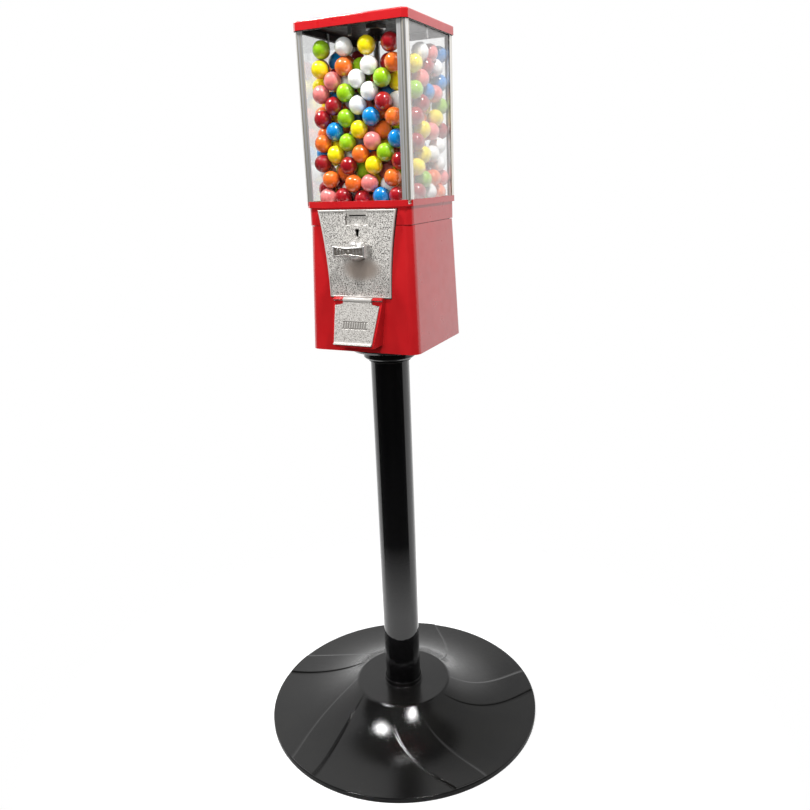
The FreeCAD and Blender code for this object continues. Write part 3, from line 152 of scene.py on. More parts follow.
class Graph:
    """Short words for building a node tree."""

    def __init__(self, tree):
        self.tree = tree

    def add(self, kind, **settings):
        item = self.tree.nodes.new(kind)
        for word, value in settings.items():
            setattr(item, word, value)
        return item

    def feed(self, target, source):
        """Link a socket to target, or set target to a plain value."""
        if isinstance(source, bpy.types.NodeSocket):
            self.tree.links.new(source, target)
        elif target.type == "RGBA" and len(source) == 3:
            target.default_value = (*source, 1)
        else:
            target.default_value = source

    def maths(self, operation, a, b, c=None):
        item = self.add("ShaderNodeMath", operation=operation)
        for slot, value in zip(item.inputs, (a, b, c)):
            if value is not None:
                self.feed(slot, value)
        return item.outputs[0]

    def split(self, vector):
        """The three coordinates of a vector."""
        item = self.add("ShaderNodeSeparateXYZ")
        self.feed(item.inputs[0], vector)
        return item.outputs

    def ramp(self, source, stops, smooth=False):
        """Values or colours at stops along source."""
        item = self.add("ShaderNodeValToRGB")
        if smooth:
            item.color_ramp.interpolation = "EASE"
        marks = item.color_ramp.elements
        while len(marks) < len(stops):
            marks.new(0.5)
        for mark, (at, value) in zip(marks, stops):
            mark.position = at
            mark.color = (*value, 1) if isinstance(value, tuple) else (value, value, value, 1)
        self.feed(item.inputs["Fac"], source)
        return item.outputs["Color"]

    def blend(self, factor, a, b, kind="MIX"):
        item = self.add("ShaderNodeMix", data_type="RGBA", blend_type=kind)
        self.feed(item.inputs["Factor"], factor)
        self.feed(item.inputs["A"], a)
        self.feed(item.inputs["B"], b)
        return item.outputs["Result"]

    def mix(self, factor, a, b):
        """Shader a where factor is 0, shader b where it is 1."""
        item = self.add("ShaderNodeMixShader")
        self.feed(item.inputs["Fac"], factor)
        self.feed(item.inputs[1], a)
        self.feed(item.inputs[2], b)
        return item.outputs[0]


class Look(Graph):
    """A node material round one Principled shader, patterned in the part's own millimetres."""

    def __init__(self, name, **values):
        self.material = bpy.data.materials.new(name)
        self.material.use_nodes = True
        super().__init__(self.material.node_tree)
        self.shader = self.tree.nodes["Principled BSDF"]
        self.place = self.add("ShaderNodeTexCoord").outputs["Object"]
        self.grain = None
        for word, value in values.items():
            self.set(word, value)

    def set(self, word, source):
        self.feed(self.shader.inputs[SOCKETS[word]], source)

    def stretched(self, stretch):
        """Object coordinates scaled along each axis."""
        if stretch is None:
            return self.place
        item = self.add("ShaderNodeMapping")
        self.feed(item.inputs["Vector"], self.place)
        item.inputs["Scale"].default_value = stretch
        return item.outputs["Vector"]

    def noise(self, size, detail=2.0, harsh=0.5, stretch=None, swirl=0.0):
        """Cloudy noise whose blotches are about size millimetres across."""
        item = self.add("ShaderNodeTexNoise")
        self.feed(item.inputs["Vector"], self.stretched(stretch))
        item.inputs["Scale"].default_value = 1000 / size
        item.inputs["Detail"].default_value = detail
        item.inputs["Roughness"].default_value = harsh
        item.inputs["Distortion"].default_value = swirl
        return item.outputs["Fac"]

    def cells(self, size, output="Distance"):
        """Cells about size millimetres across."""
        item = self.add("ShaderNodeTexVoronoi")
        self.feed(item.inputs["Vector"], self.place)
        item.inputs["Scale"].default_value = 1000 / size
        return item.outputs[output]

    def bump(self, height, depth, strength=1.0):
        """Relief of depth millimetres; a second call lies over the first."""
        item = self.add("ShaderNodeBump")
        item.inputs["Distance"].default_value = depth * MM
        item.inputs["Strength"].default_value = strength
        self.feed(item.inputs["Height"], height)
        if self.grain is not None:
            self.feed(item.inputs["Normal"], self.grain)
        self.grain = item.outputs["Normal"]
        self.set("normal", self.grain)

    def attribute(self, name):
        """A number that paint() stored on the mesh."""
        return self.add("ShaderNodeAttribute", attribute_name=name).outputs["Fac"]

    def surface(self, shader):
        """Use shader instead of the plain Principled one."""
        self.feed(self.tree.nodes["Material Output"].inputs["Surface"], shader)


# ---------------------------------------------------------------- materials
def red_enamel():
    """Glossy red powder coat with a little dust, and pale scuffs on the lid."""
    look = Look("red_enamel", roughness=0.32, specular=0.2, coat=1.0, coat_roughness=0.03, coat_ior=1.43)
    cloud = look.noise(34, 3)
    tone = look.ramp(cloud, [(0.3, (0.42, 0.0095, 0.0125)), (0.7, (0.465, 0.0125, 0.0150))])
    specks = look.ramp(look.cells(2.3), [(0.0, 1), (0.035, 1), (0.06, 0)])
    sparse = look.ramp(look.noise(9, 1), [(0.64, 0), (0.70, 0.35)])
    dust = look.maths("MULTIPLY", specks, sparse)
    scuff = look.ramp(look.noise(5, 5, harsh=0.7, stretch=(0.35, 0.35, 1.6)), [(0.66, 0.0), (0.76, 0.5)])
    lid_foot = 1.094
    # On the lid this mask holds scuffs alone.
    wear_and_shadow = look.maths("MULTIPLY", scuff, look.maths("GREATER_THAN", look.split(look.place)["Z"], lid_foot))
    look.set("colour", look.blend(wear_and_shadow, look.blend(dust, tone, (0.70, 0.14, 0.13)), (0.75, 0.38, 0.36)))
    look.set("roughness", look.ramp(look.noise(18, 4), [(0.3, 0.27), (0.7, 0.40)]))
    look.bump(look.noise(2.6, 2), 0.012, 0.35)
    look.bump(look.noise(45, 1), 0.12, 0.20)
    look.set("coat_normal", look.grain)
    return look.material


def painted_shade_under_lid():
    """Painted shade: near-black colour for the underside of the lid and of the channel below it."""
    look = Look("painted_shade_under_lid", roughness=0.5, specular=0.12)
    look.set("colour", look.ramp(look.noise(20, 3), [(0.3, (0.012, 0.006, 0.005)),
                                                     (0.7, (0.022, 0.011, 0.009))]))
    look.set("roughness", look.ramp(look.noise(6, 3), [(0.3, 0.38), (0.7, 0.6)]))
    look.bump(look.noise(1.2, 2), 0.02, 0.5)
    return look.material


def black_casting():
    """Black enamel on pebbly cast iron with a few bare chips, duller on the base's low rim."""
    look = Look("black_casting", specular=0.05, coat_roughness=0.03, coat_ior=1.42)
    look.set("coat", look.ramp(look.attribute("side"), [(0.0, 1.0), (1.0, 0.12)]))
    cloud = look.noise(60, 4, swirl=0.4)
    tone = look.ramp(cloud, [(0.3, (0.0030, 0.0030, 0.0032)), (0.7, (0.0060, 0.0058, 0.0052))])
    chips = look.ramp(look.cells(6), [(0.0, 1), (0.022, 1), (0.034, 0)])
    sparse = look.ramp(look.noise(30, 1), [(0.66, 0), (0.70, 1)])
    look.set("colour", look.blend(look.maths("MULTIPLY", chips, sparse), tone, (0.55, 0.55, 0.53)))
    look.set("roughness", look.ramp(look.noise(7, 5), [(0.3, 0.38), (0.72, 0.6)]))
    look.bump(look.noise(30, 1), 0.09, 0.25)
    look.bump(look.noise(3.0, 4, harsh=0.8), 0.13, 1.0)
    look.set("coat_normal", look.grain)
    return look.material


def black_pipe():
    """Smooth black enamel with faint draw lines along the pipe."""
    look = Look("black_pipe", specular=0.05, coat=1.0, coat_roughness=0.02, coat_ior=1.5)
    draw = look.noise(7, 3, stretch=(1, 1, 0.02))
    look.set("colour", look.ramp(draw, [(0.3, (0.0015, 0.0015, 0.0019)), (0.7, (0.0030, 0.0029, 0.0031))]))
    look.set("roughness", look.ramp(look.noise(5, 4), [(0.3, 0.3), (0.7, 0.5)]))
    look.bump(draw, 0.03, 0.4)
    look.bump(look.noise(2.2, 2), 0.008, 0.4)
    look.set("coat_normal", look.grain)
    return look.material


def hammered_metal():
    """Bright tumbled die casting with a coarse worm grain, darkened by dirt and painted shade in its low
    spots and by wear and a painted shadow in a patch.
    """
    look = Look("hammered_metal", metal=0.22, specular=0.5)
    low = look.attribute("dirt_and_shade")
    wear_and_shadow = look.attribute("wear_and_shadow")
    grit = look.noise(0.7, 3, harsh=0.7)
    bright = look.ramp(grit, [(0.3, (0.58, 0.555, 0.515)), (0.7, (0.84, 0.82, 0.785))])
    # Painted shade and dirt: where the attribute is high the colour goes nearly black.
    dirt_and_shade_tone = look.blend(low, bright, (0.06, 0.05, 0.042))
    # Painted shadow and wear: the patch below the handle turns a darker brown and rougher.
    look.set("colour", look.blend(wear_and_shadow, dirt_and_shade_tone, (0.32, 0.26, 0.22)))
    rough = look.ramp(grit, [(0.3, 0.30), (0.7, 0.46)])
    look.set("roughness", look.blend(wear_and_shadow, rough, (0.46, 0.46, 0.46)))
    look.bump(look.noise(0.9, 3, harsh=0.65), 0.08, 0.6)
    return look.material


def cast_polish():
    """Polished zinc casting: bright on top, hazy and pitted in the hollows."""
    look = Look("cast_polish", metal=0.7, specular=0.5)
    haze = look.noise(5, 4)
    polish = look.ramp(haze, [(0.3, (0.44, 0.42, 0.395)), (0.7, (0.64, 0.63, 0.615))])
    specks = look.ramp(look.cells(1.5), [(0.0, 0.6), (0.16, 0.5), (0.3, 0)])
    pitted = look.blend(look.maths("MULTIPLY", specks, look.ramp(haze, [(0.45, 0), (0.6, 1)])), polish,
                        (0.24, 0.22, 0.20))
    look.set("colour", look.blend(look.attribute("dirt_and_shade"), pitted, (0.27, 0.225, 0.19)))
    scratch = look.noise(0.8, 2, stretch=(0.12, 1, 1))
    look.set("roughness", look.ramp(look.blend(0.5, haze, scratch), [(0.3, 0.22), (0.7, 0.36)]))
    look.bump(scratch, 0.01, 0.35)
    look.bump(look.noise(3.5, 2), 0.05, 0.35)
    return look.material


def worn_metal(name, dark, light, rough=(0.25, 0.45), size=3.0):
    """Plain metal, clouded between a dark and a light tone."""
    look = Look(name, metal=1.0)
    streak = look.noise(size, 3)
    look.set("colour", look.ramp(streak, [(0.3, dark), (0.72, light)]))
    look.set("roughness", look.ramp(look.noise(size * 1.7, 4), [(0.3, rough[0]), (0.7, rough[1])]))
    look.bump(streak, 0.02, 0.4)
    return look.material


def galvanised():
    """Galvanised sheet with spangles."""
    look = Look("sheet_steel", metal=1.0)
    spangle = look.cells(7, output="Color")
    grey = look.ramp(spangle, [(0.0, (0.42, 0.43, 0.44)), (1.0, (0.66, 0.67, 0.68))])
    look.set("colour", grey)
    look.set("roughness", look.ramp(look.noise(9, 4), [(0.3, 0.30), (0.7, 0.5)]))
    look.bump(look.noise(4, 3), 0.03, 0.3)
    return look.material


def bright_aluminium():
    """Extruded strip, brushed along its length, with stripes of tarnish and painted reflection."""
    look = Look("bright_aluminium", metal=0.8, specular=0.5)
    stripes = look.noise(3.4, 2, harsh=0.5, stretch=(1, 1, 0.004))
    # Painted reflection and tarnish: dark blue-grey, cream and near-white stripes along the length.
    look.set("colour", look.ramp(stripes, [(0.36, (0.30, 0.31, 0.34)), (0.45, (0.66, 0.60, 0.47)),
                                           (0.52, (0.80, 0.80, 0.80)), (0.62, (0.92, 0.92, 0.92))]))
    look.set("roughness", look.ramp(look.noise(2.4, 3, stretch=(1, 1, 0.02)), [(0.3, 0.30), (0.7, 0.44)]))
    look.bump(look.noise(1.1, 3, stretch=(1, 1, 0.004)), 0.05, 0.6)
    return look.material


def white_plastic():
    """Moulded plastic of the hopper pan and the product wheel."""
    look = Look("white_plastic", roughness=0.35, specular=0.5, subsurface=0.1, subsurface_scale=0.002)
    look.set("colour", look.ramp(look.noise(25, 3), [(0.3, (0.74, 0.73, 0.70)), (0.7, (0.82, 0.815, 0.79))]))
    look.set("roughness", look.ramp(look.noise(4, 3), [(0.3, 0.3), (0.7, 0.45)]))
    look.bump(look.noise(1.4, 2), 0.01, 0.4)
    return look.material


def bristle():
    """Upright brush hair."""
    look = Look("bristle", roughness=0.6, specular=0.3)
    strands = look.noise(0.5, 2, stretch=(1, 1, 0.05))
    look.set("colour", look.ramp(strands, [(0.35, (0.02, 0.02, 0.02)), (0.7, (0.16, 0.155, 0.15))]))
    look.bump(strands, 0.2, 0.9)
    return look.material


def clear_panel():
    """Clear panes: see-through face on, mirroring their surroundings more and more when seen aslant."""
    look = Look("clear_panel", metal=1.0)
    smear = look.noise(38, 4, swirl=1.2)
    look.set("colour", look.ramp(smear, [(0.3, (0.99, 0.975, 0.97)), (0.7, (0.90, 0.885, 0.88))]))
    look.set("roughness", look.ramp(smear, [(0.4, 0.0), (0.8, 0.05)]))
    clear = look.add("ShaderNodeBsdfTransparent")
    clear.inputs["Color"].default_value = (0.985, 0.988, 0.987, 1)
    slant = look.add("ShaderNodeLayerWeight")
    slant.inputs["Blend"].default_value = 0.5
    mirror = look.ramp(slant.outputs["Facing"], [(0.0, 0.04), (0.16, 0.05), (0.3, 0.065), (0.5, 0.14),
                                                 (0.66, 0.24), (0.82, 0.42), (0.91, 0.62), (1.0, 1.0)])
    pane = look.mix(mirror, clear.outputs[0], look.shader.outputs[0])
    lamp_ray = look.add("ShaderNodeLightPath").outputs["Is Shadow Ray"]
    look.surface(look.mix(lamp_ray, pane, clear.outputs[0]))
    return look.material


def gum(name, colour):
    """Polished candy shell: slightly uneven colour, faint dimples and a wax gloss."""
    look = Look(name, specular=0.1, coat=1.0, coat_roughness=0.035, coat_ior=2.0,
                subsurface=0.06, subsurface_scale=0.0015)
    look.set("subsurface_radius", (1.0, 0.6, 0.4))
    pale = tuple(c + (1 - c) * 0.03 for c in colour)
    deep = tuple(c * 0.93 for c in colour)
    mottle = look.ramp(look.noise(8, 3), [(0.32, deep), (0.52, colour), (0.74, pale)])
    shade = look.ramp(look.attribute("tone"), [(0.0, 0.86), (1.0, 1.0)])
    look.set("colour", look.blend(1.0, mottle, shade, "MULTIPLY"))
    look.set("roughness", look.ramp(look.noise(3, 3), [(0.3, 0.3), (0.7, 0.42)]))
    look.bump(look.noise(6.5, 1), 0.04, 0.12)
    return look.material


GUM = {
    "crimson": (0.34, 0.006, 0.012), "orange": (0.82, 0.155, 0.018), "yellow": (0.95, 0.76, 0.006),
    "lime": (0.30, 0.56, 0.010), "blue": (0.002, 0.23, 0.60), "pink": (0.84, 0.24, 0.23),
    "white": (0.88, 0.88, 0.87),
}


# ---------------------------------------------------------------- mesh kit
def new_piece(name, vertices, faces, material, body):
    """A smooth-shaded object from points in metres, riding on a body."""
    mesh = bpy.data.meshes.new(name)
    mesh.from_pydata([tuple(v) for v in vertices], [], [tuple(f) for f in faces])
    mesh.validate()
    work = bmesh.new()
    work.from_mesh(mesh)
    loose = [v for v in work.verts if not v.link_faces]
    bmesh.ops.delete(work, geom=loose, context="VERTS")
    bmesh.ops.recalc_face_normals(work, faces=work.faces)
    work.to_mesh(mesh)
    work.free()
    mesh.polygons.foreach_set("use_smooth", [True] * len(mesh.polygons))
    mesh.materials.append(material)
    piece = bpy.data.objects.new(name, mesh)
    bpy.context.scene.collection.objects.link(piece)
    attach(piece, body)
    return piece


def between(keys, counts):
    """Split each gap between neighbouring keys (rows of arrays) into its count of steps."""
    columns = []
    for a, b, count in zip(keys, keys[1:], counts):
        for i in range(count):
            columns.append(a + (b - a) * (i / count))
    columns.append(keys[-1])
    return np.stack(columns, axis=-1)


def solid_grid(front, back, keep):
    """Vertices and quads of a closed plate from its front and back grids; cells not kept are holes."""
    rows, cols = front.shape[:2]
    shift = rows * cols
    vertices = np.concatenate([front.reshape(-1, 3), back.reshape(-1, 3)])
    index = np.arange(shift).reshape(rows, cols)
    a, b = index[:-1, :-1], index[:-1, 1:]
    c, d = index[1:, 1:], index[1:, :-1]
    quads = np.stack([a, b, c, d], -1)[keep]
    faces = quads.tolist() + (quads[:, ::-1] + shift).tolist()
    padded = np.zeros((rows + 1, cols + 1), bool)
    padded[1:-1, 1:-1] = keep
    for i, j in zip(*np.nonzero(padded[:-1, 1:-1] != padded[1:, 1:-1])):
        p, q = index[i, j], index[i, j + 1]
        faces.append([p, q, q + shift, p + shift])
    for i, j in zip(*np.nonzero(padded[1:-1, :-1] != padded[1:-1, 1:])):
        p, q = index[i, j], index[i + 1, j]
        faces.append([p, q, q + shift, p + shift])
    return vertices, faces


def ring_grid(points):
    """Vertices and quads of a grid of points that closes on itself both ways."""
    rows, cols = points.shape[:2]
    index = np.arange(rows * cols).reshape(rows, cols)
    index = np.concatenate([index, index[:1]])
    index = np.concatenate([index, index[:, :1]], axis=1)
    quads = np.stack([index[:-1, :-1], index[:-1, 1:], index[1:, 1:], index[1:, :-1]], -1)
    return points.reshape(-1, 3), quads.reshape(-1, 4).tolist()


def mirrored(right, counts, middle):
    """Columns from the keys of the right half and their mirror images, middle steps between the halves."""
    return between([-k for k in right[::-1]] + right, counts[::-1] + [middle] + counts)


def joined(vertices, faces, more, more_faces):
    """One mesh from two."""
    start = len(vertices)
    return np.concatenate([vertices, more]), faces + [[v + start for v in f] for f in more_faces]


def waves(x, z, size, seed, spread):
    """Labyrinth pattern, -1 to 1, whose ridges are about size millimetres apart."""
    count = 70
    draw = np.random.default_rng(seed)
    total = np.zeros_like(x)
    for _ in range(count):
        angle = draw.uniform(0, math.pi)
        pitch = math.tau / size * draw.uniform(1 - spread, 1 + spread)
        total += np.cos(pitch * (x * math.cos(angle) + z * math.sin(angle)) + draw.uniform(0, math.tau))
    return np.tanh(1.7 * total / math.sqrt(count / 2))


def speckle(x, z, size, seed):
    """Blotchy pattern of two labyrinths laid over each other."""
    coarse = waves(x, z, 1.35 * size, seed, spread=0.6)
    fine = waves(x, z, 0.8 * size, seed + 100, spread=0.5)
    return np.clip(coarse * fine + 0.35 * fine, -1, 1)


def ease(t):
    """Smooth step from 0 to 1."""
    t = np.clip(t, 0, 1)
    return t * t * (3 - 2 * t)


def rounding(edge, radius):
    """How far a rounded edge lies below the flat face, at a distance from the outline."""
    return radius - np.sqrt(np.maximum(radius ** 2 - np.clip(radius - edge, 0, radius) ** 2, 0))


def paint(piece, name, values):
    """Store one number per vertex for the material to read."""
    layer = piece.data.attributes.new(name, "FLOAT", "POINT")
    layer.data.foreach_set("value", np.asarray(values, dtype=np.float32).ravel())


# ---------------------------------------------------------------- gumballs
def ball_centres(node):
    """Centre of each ball: every face lies one radius out along its own normal."""
    mesh = node.data
    count = len(mesh.polygons)
    centres = np.zeros(count * 3)
    normals = np.zeros(count * 3)
    mesh.polygons.foreach_get("center", centres)
    mesh.polygons.foreach_get("normal", normals)
    guess = centres.reshape(-1, 3) - normals.reshape(-1, 3) * BALL
    reach, few = 3 * MM, 100
    balls = []
    while len(guess):
        near = np.linalg.norm(guess - guess[0], axis=1) < reach
        if near.sum() > few:
            balls.append(np.median(guess[near], axis=0))
        guess = guess[~near]
    return sorted(balls, key=lambda c: (round(c[2], 4), round(c[0], 4), round(c[1], 4)))


def ball_form():
    """Points and triangles of a ball of radius 1."""
    work = bmesh.new()
    bmesh.ops.create_icosphere(work, subdivisions=4, radius=1)
    vertices = np.array([v.co for v in work.verts])
    faces = np.array([[v.index for v in f.verts] for f in work.faces])
    work.free()
    return vertices, faces


def make_gumballs():
    """One piece per colour, a slightly lumpy ball at each of the CAD's balls."""
    form, triangles = ball_form()
    first_seed, wave, plain, lump = 40, 3.1, 0.993, 0.006
    for order, (colour, rgb) in enumerate(GUM.items()):
        node = NODES["gumballs_" + colour]
        draw = np.random.default_rng(first_seed + order)
        vertices, faces, tones = [], [], []
        for i, centre in enumerate(ball_centres(node)):
            push = draw.normal(size=(3, 3))
            push /= np.linalg.norm(push, axis=1)[:, None]
            lumps = sum(np.cos(wave * form @ axis * k + draw.uniform(0, 6))
                        for k, axis in enumerate(push, 1)) / 3
            size = BALL * (plain + lump * lumps)
            vertices.append(centre + form * size[:, None])
            faces.append(triangles + i * len(form))
            tones.append(np.full(len(form), draw.uniform(0, 1)))
        piece = new_piece("gum_" + colour, np.concatenate(vertices), np.concatenate(faces).tolist(),
                          gum("gum_" + colour, rgb), "head")
        paint(piece, "tone", np.concatenate(tones))
        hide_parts("gumballs_" + colour)


# ---------------------------------------------------------------- base
def flare(radius, rise, drop=0.0, rim=RIM, hub=HUB):
    """Height of the base's concave flare at a radius: a Bezier curve from the hub to the edge."""
    t = np.linspace(0, 1, 400)
    low = EDGE + rise - drop
    poles = np.array([(hub, HUB_TOP - drop), (134.2 + rise, 0.5 + low), (186.3, low), (rim, low)])
    weights = np.stack([(1 - t) ** 3, 3 * t * (1 - t) ** 2, 3 * t * t * (1 - t), t ** 3], -1)
    curve = weights @ poles
    return np.interp(radius, curve[:, 0], curve[:, 1])


def arc_points(centre, radius, start, end, steps):
    """Points on an arc between two angles in degrees."""
    angles = np.radians(np.linspace(start, end, steps))
    return [(centre[0] + radius * math.cos(a), centre[1] + radius * math.sin(a)) for a in angles]


def make_base(material):
    """Cast iron base: hub, concave flare and five raised swirl bands, hollow below."""
    wall, sole = 6, 47                        # wall of the flare, height of the hub's underside
    seat, ledge = 20, 34                      # foot of the pipe socket and of the step round it
    bore_edge, boss_edge, hub_edge, top_edge, foot_edge = 1.4, 0.9, 1.6, 1.3, 1.5
    outline = [(BORE, z) for z in np.linspace(seat, BOSS_TOP - bore_edge, 8)]
    outline += arc_points((BORE + bore_edge, BOSS_TOP - bore_edge), bore_edge, 180, 90, 5)[1:]
    outline += arc_points((BOSS - boss_edge, BOSS_TOP - boss_edge), boss_edge, 90, 0, 6)
    outline += arc_points((BOSS + boss_edge, HUB_TOP + boss_edge), boss_edge, 180, 270, 5)
    outline += [(r, HUB_TOP) for r in np.linspace(BOSS + 3, HUB - 3, 14)]
    outline += arc_points((HUB - hub_edge, HUB_TOP - hub_edge), hub_edge, 90, 52, 6)
    stations = np.concatenate([np.linspace(HUB + 0.6, 160, 46), np.linspace(162, BAND_RIM - 0.7, 26),
                               np.linspace(BAND_RIM - 0.35, BAND_RIM + 0.05, 4)])
    outline += [(r, None) for r in stations]
    outline += arc_points((RIM - top_edge, EDGE - top_edge), top_edge, 72, 0, 6)
    outline += [(RIM, 6), (RIM, 3)]
    outline += arc_points((RIM - foot_edge, foot_edge), foot_edge, 0, -90, 6)
    outline += [(RIM - 3.5, 0), (RIM - wall, 0), (RIM - wall, 1.4), (RIM - wall, 3)]
    outline += [(r, float(flare(r, 0, drop=wall, rim=RIM - wall, hub=HUB - 4)))
                for r in np.linspace(RIM - 8, HUB - 3, 50)]
    outline += [(HUB - 6, sole), (60, sole), (39, sole), (39, ledge), (39, seat), (ledge, seat)]

    # Each band starts and ends at angles that sweep round with the radius.
    radii = np.array([p[0] for p in outline])
    along = np.clip((RIM - np.maximum(radii, HUB)) / (RIM - HUB), 0, 1)
    lead = -45 - 38 * along ** 1.25
    trail = -32 - 18 * along ** 1.6
    soft = np.degrees(0.6 / np.maximum(radii, HUB))
    bands, rise = 5, 1.8
    steps = {"up": 6, "top": 22, "down": 6, "low": 34}
    starts = {"up": lead - soft, "top": lead + soft, "down": trail - soft, "low": trail + soft}
    keys = [starts[part] + 360 / bands * i for i in range(bands) for part in steps]
    keys.append(lead - soft + 360)
    angles = np.radians(between(keys, list(steps.values()) * bands)[:, :-1])
    lift = np.tile(np.concatenate([ease(np.arange(steps["up"]) / steps["up"]), np.ones(steps["top"]),
                                   1 - ease(np.arange(steps["down"]) / steps["down"]),
                                   np.zeros(steps["low"])]), bands)
    heights = np.zeros_like(angles)
    for i, (radius, height) in enumerate(outline):
        if height is not None:
            heights[i] = height
            continue
        plain = float(flare(radius, 0)) if radius > HUB + 1 else 52.3
        banded = float(flare(min(radius, BAND_RIM), rise, rim=BAND_RIM))
        end = 1 - ease((radius - BAND_RIM + 0.35) / 0.35)
        heights[i] = plain + (max(banded, plain) - plain) * lift * end
    points = np.stack([radii[:, None] * np.cos(angles), radii[:, None] * np.sin(angles), heights], -1)
    vertices, faces = ring_grid(points * MM)
    piece = new_piece("cast_base", vertices, faces, material, "stand")
    low_rim = (radii > RIM - 2) & (heights[:, 0] < 8.4) & (heights[:, 0] > 1.1)
    paint(piece, "side", np.repeat(low_rim.astype(float), angles.shape[1]))
    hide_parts("stand_base")


# ---------------------------------------------------------------- coin plate
def half_width(z):
    """The plate's half width: sides curve inwards between foot and head."""
    foot, head = np.array((48.5, PLATE_LOW)), np.array((61.0, PLATE_TOP))
    middle = (foot + head) / 2
    along = head - foot
    chord = np.linalg.norm(along)
    normal = np.array((along[1], -along[0])) / chord
    radius = 668.0
    centre = middle + normal * math.sqrt(radius ** 2 - (chord / 2) ** 2)
    return centre[0] - np.sqrt(radius ** 2 - (z - centre[1]) ** 2)


def make_plate(material):
    """Coin plate: hammered field, raised smooth border, coin recess with its scoop, slot and viewing hole."""
    soft, border, inner = 0.9, 2.1, 2.5           # edge rounding, width of the border, start of the field
    recess, scoop, throat = 18.2, 16.3, 13.3      # half widths of the coin recess, its scoop and the slot
    recess_low, slot_low, slot_high = 845.3, 857, 859
    peep_low, peep_high = 829.3, 840
    deep, step = 4.6, 0.4                         # depth of the recess, width of the small steps
    marks = [PLATE_LOW, PLATE_LOW + soft, PLATE_LOW + border, PLATE_LOW + inner, 808, peep_low, peep_high,
             recess_low, recess_low + step, slot_low, slot_high,
             PLATE_TOP - 2.6, PLATE_TOP - 2.2, PLATE_TOP - soft, PLATE_TOP]
    steps = [3, 3, 2, 130, 46, 23, 12, 2, 24, 8, 8, 2, 3, 3]
    z = between([np.array(m) for m in marks], steps).ravel()
    wide = half_width(z)
    hole = np.interp(z, [822, peep_low, peep_high, 844], [1.8, 1.8, 3.35, 3.35])
    fixed = [k * np.ones_like(z) for k in (throat, 16, scoop, recess - step, recess)]
    right = [hole, *fixed, wide - 2.6, wide - 2.2, wide - soft, wide]
    x = mirrored(right, [23, 6, 2, 4, 2, 70, 2, 3, 3], 8)
    zz = np.broadcast_to(z[:, None], x.shape)
    ww = np.broadcast_to(wide[:, None], x.shape)

    edge = np.minimum.reduce([ww - np.abs(x), zz - PLATE_LOW, PLATE_TOP - zz])
    field = ease((edge - border) / 0.6)
    depth = rounding(edge, soft) + 0.8 * ease((edge - border) / step)

    in_recess = ease((recess - np.abs(x)) / step) * ease((zz - recess_low) / step) * ease((857.6 - zz) / 0.2)
    in_scoop = ease((scoop - np.abs(x)) / 0.3) * (zz > slot_low - 0.5)
    floor = np.where(zz > slot_low + 0.2, 0, deep * in_recess)
    slide = deep * np.clip((PLATE_TOP + 0.4 - zz) / 9.4, 0, 1) * in_scoop
    depth = np.maximum(depth, np.maximum(floor, slide))

    # The hammered grain is real relief; it is rubbed flat in a patch below the handle, which the material
    # also tints darker as a painted shadow of the handle.
    grain = speckle(x, zz, 3.0, seed=3)
    patch = np.exp(-(((x - 4) / 29) ** 2 + ((zz - 785) / 16) ** 2) ** 3)
    calm = np.where(in_scoop > 0.5, 0.0, np.where(in_recess > 0.5, 0.8, 1.0))
    amount = field * calm * (1 - 0.85 * patch)
    depth = depth - amount * (0.2 * grain - 0.2)
    front = np.stack([x, -(PLATE_FACE - depth), zz], -1)
    back = np.stack([x, np.full_like(x, -PLATE_BACK), zz], -1)

    middle_x = (x[:-1, :-1] + x[1:, 1:]) / 2
    middle_z = (zz[:-1, :-1] + zz[1:, 1:]) / 2
    lane = np.broadcast_to(((hole[:-1] + hole[1:]) / 2)[:, None], middle_x.shape)
    peep = (np.abs(middle_x) < lane) & (middle_z > peep_low) & (middle_z < peep_high)
    slot = (np.abs(middle_x) < throat) & (middle_z > slot_low) & (middle_z < slot_high)
    shaft = middle_x ** 2 + (middle_z - HANDLE_Z) ** 2 < 5.6 ** 2
    vertices, faces = solid_grid(front * MM, back * MM, ~(peep | slot | shaft))

    # Dirt and painted shade darken the grain's low spots and, a little, the border; painted shade darkens the
    # plate's foot, the recess's walls and the back.
    used = np.zeros(len(vertices), bool)
    used[np.unique([v for f in faces for v in f])] = True
    low = ease((0.1 - grain) / 0.8) * amount * 0.95
    low = np.maximum(low, (1 - field) * np.where(zz < PLATE_LOW + 1.6, 0.75, 0.25))
    steep = np.hypot(*np.gradient(depth)) / np.maximum(np.abs(np.gradient(x, axis=1)), 0.05)
    walls = (np.maximum(in_recess, in_scoop) > 0.02) * (steep - 1.2) / 2.0
    low = np.maximum(low, 0.8 * ease(walls))
    dirt_and_shade = np.concatenate([low.ravel(), np.full(low.size, 0.9)])[used]
    # Painted shadow of the handle and wear: this marks the patch for a darker brown tint.
    wear_and_shadow = np.concatenate([(patch * field).ravel() * 0.9, np.zeros(low.size)])[used]
    piece = new_piece("coin_plate_casting", vertices, faces, material, "head")
    paint(piece, "dirt_and_shade", dirt_and_shade)
    paint(piece, "wear_and_shadow", wear_and_shadow)
    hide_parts("coin_plate")


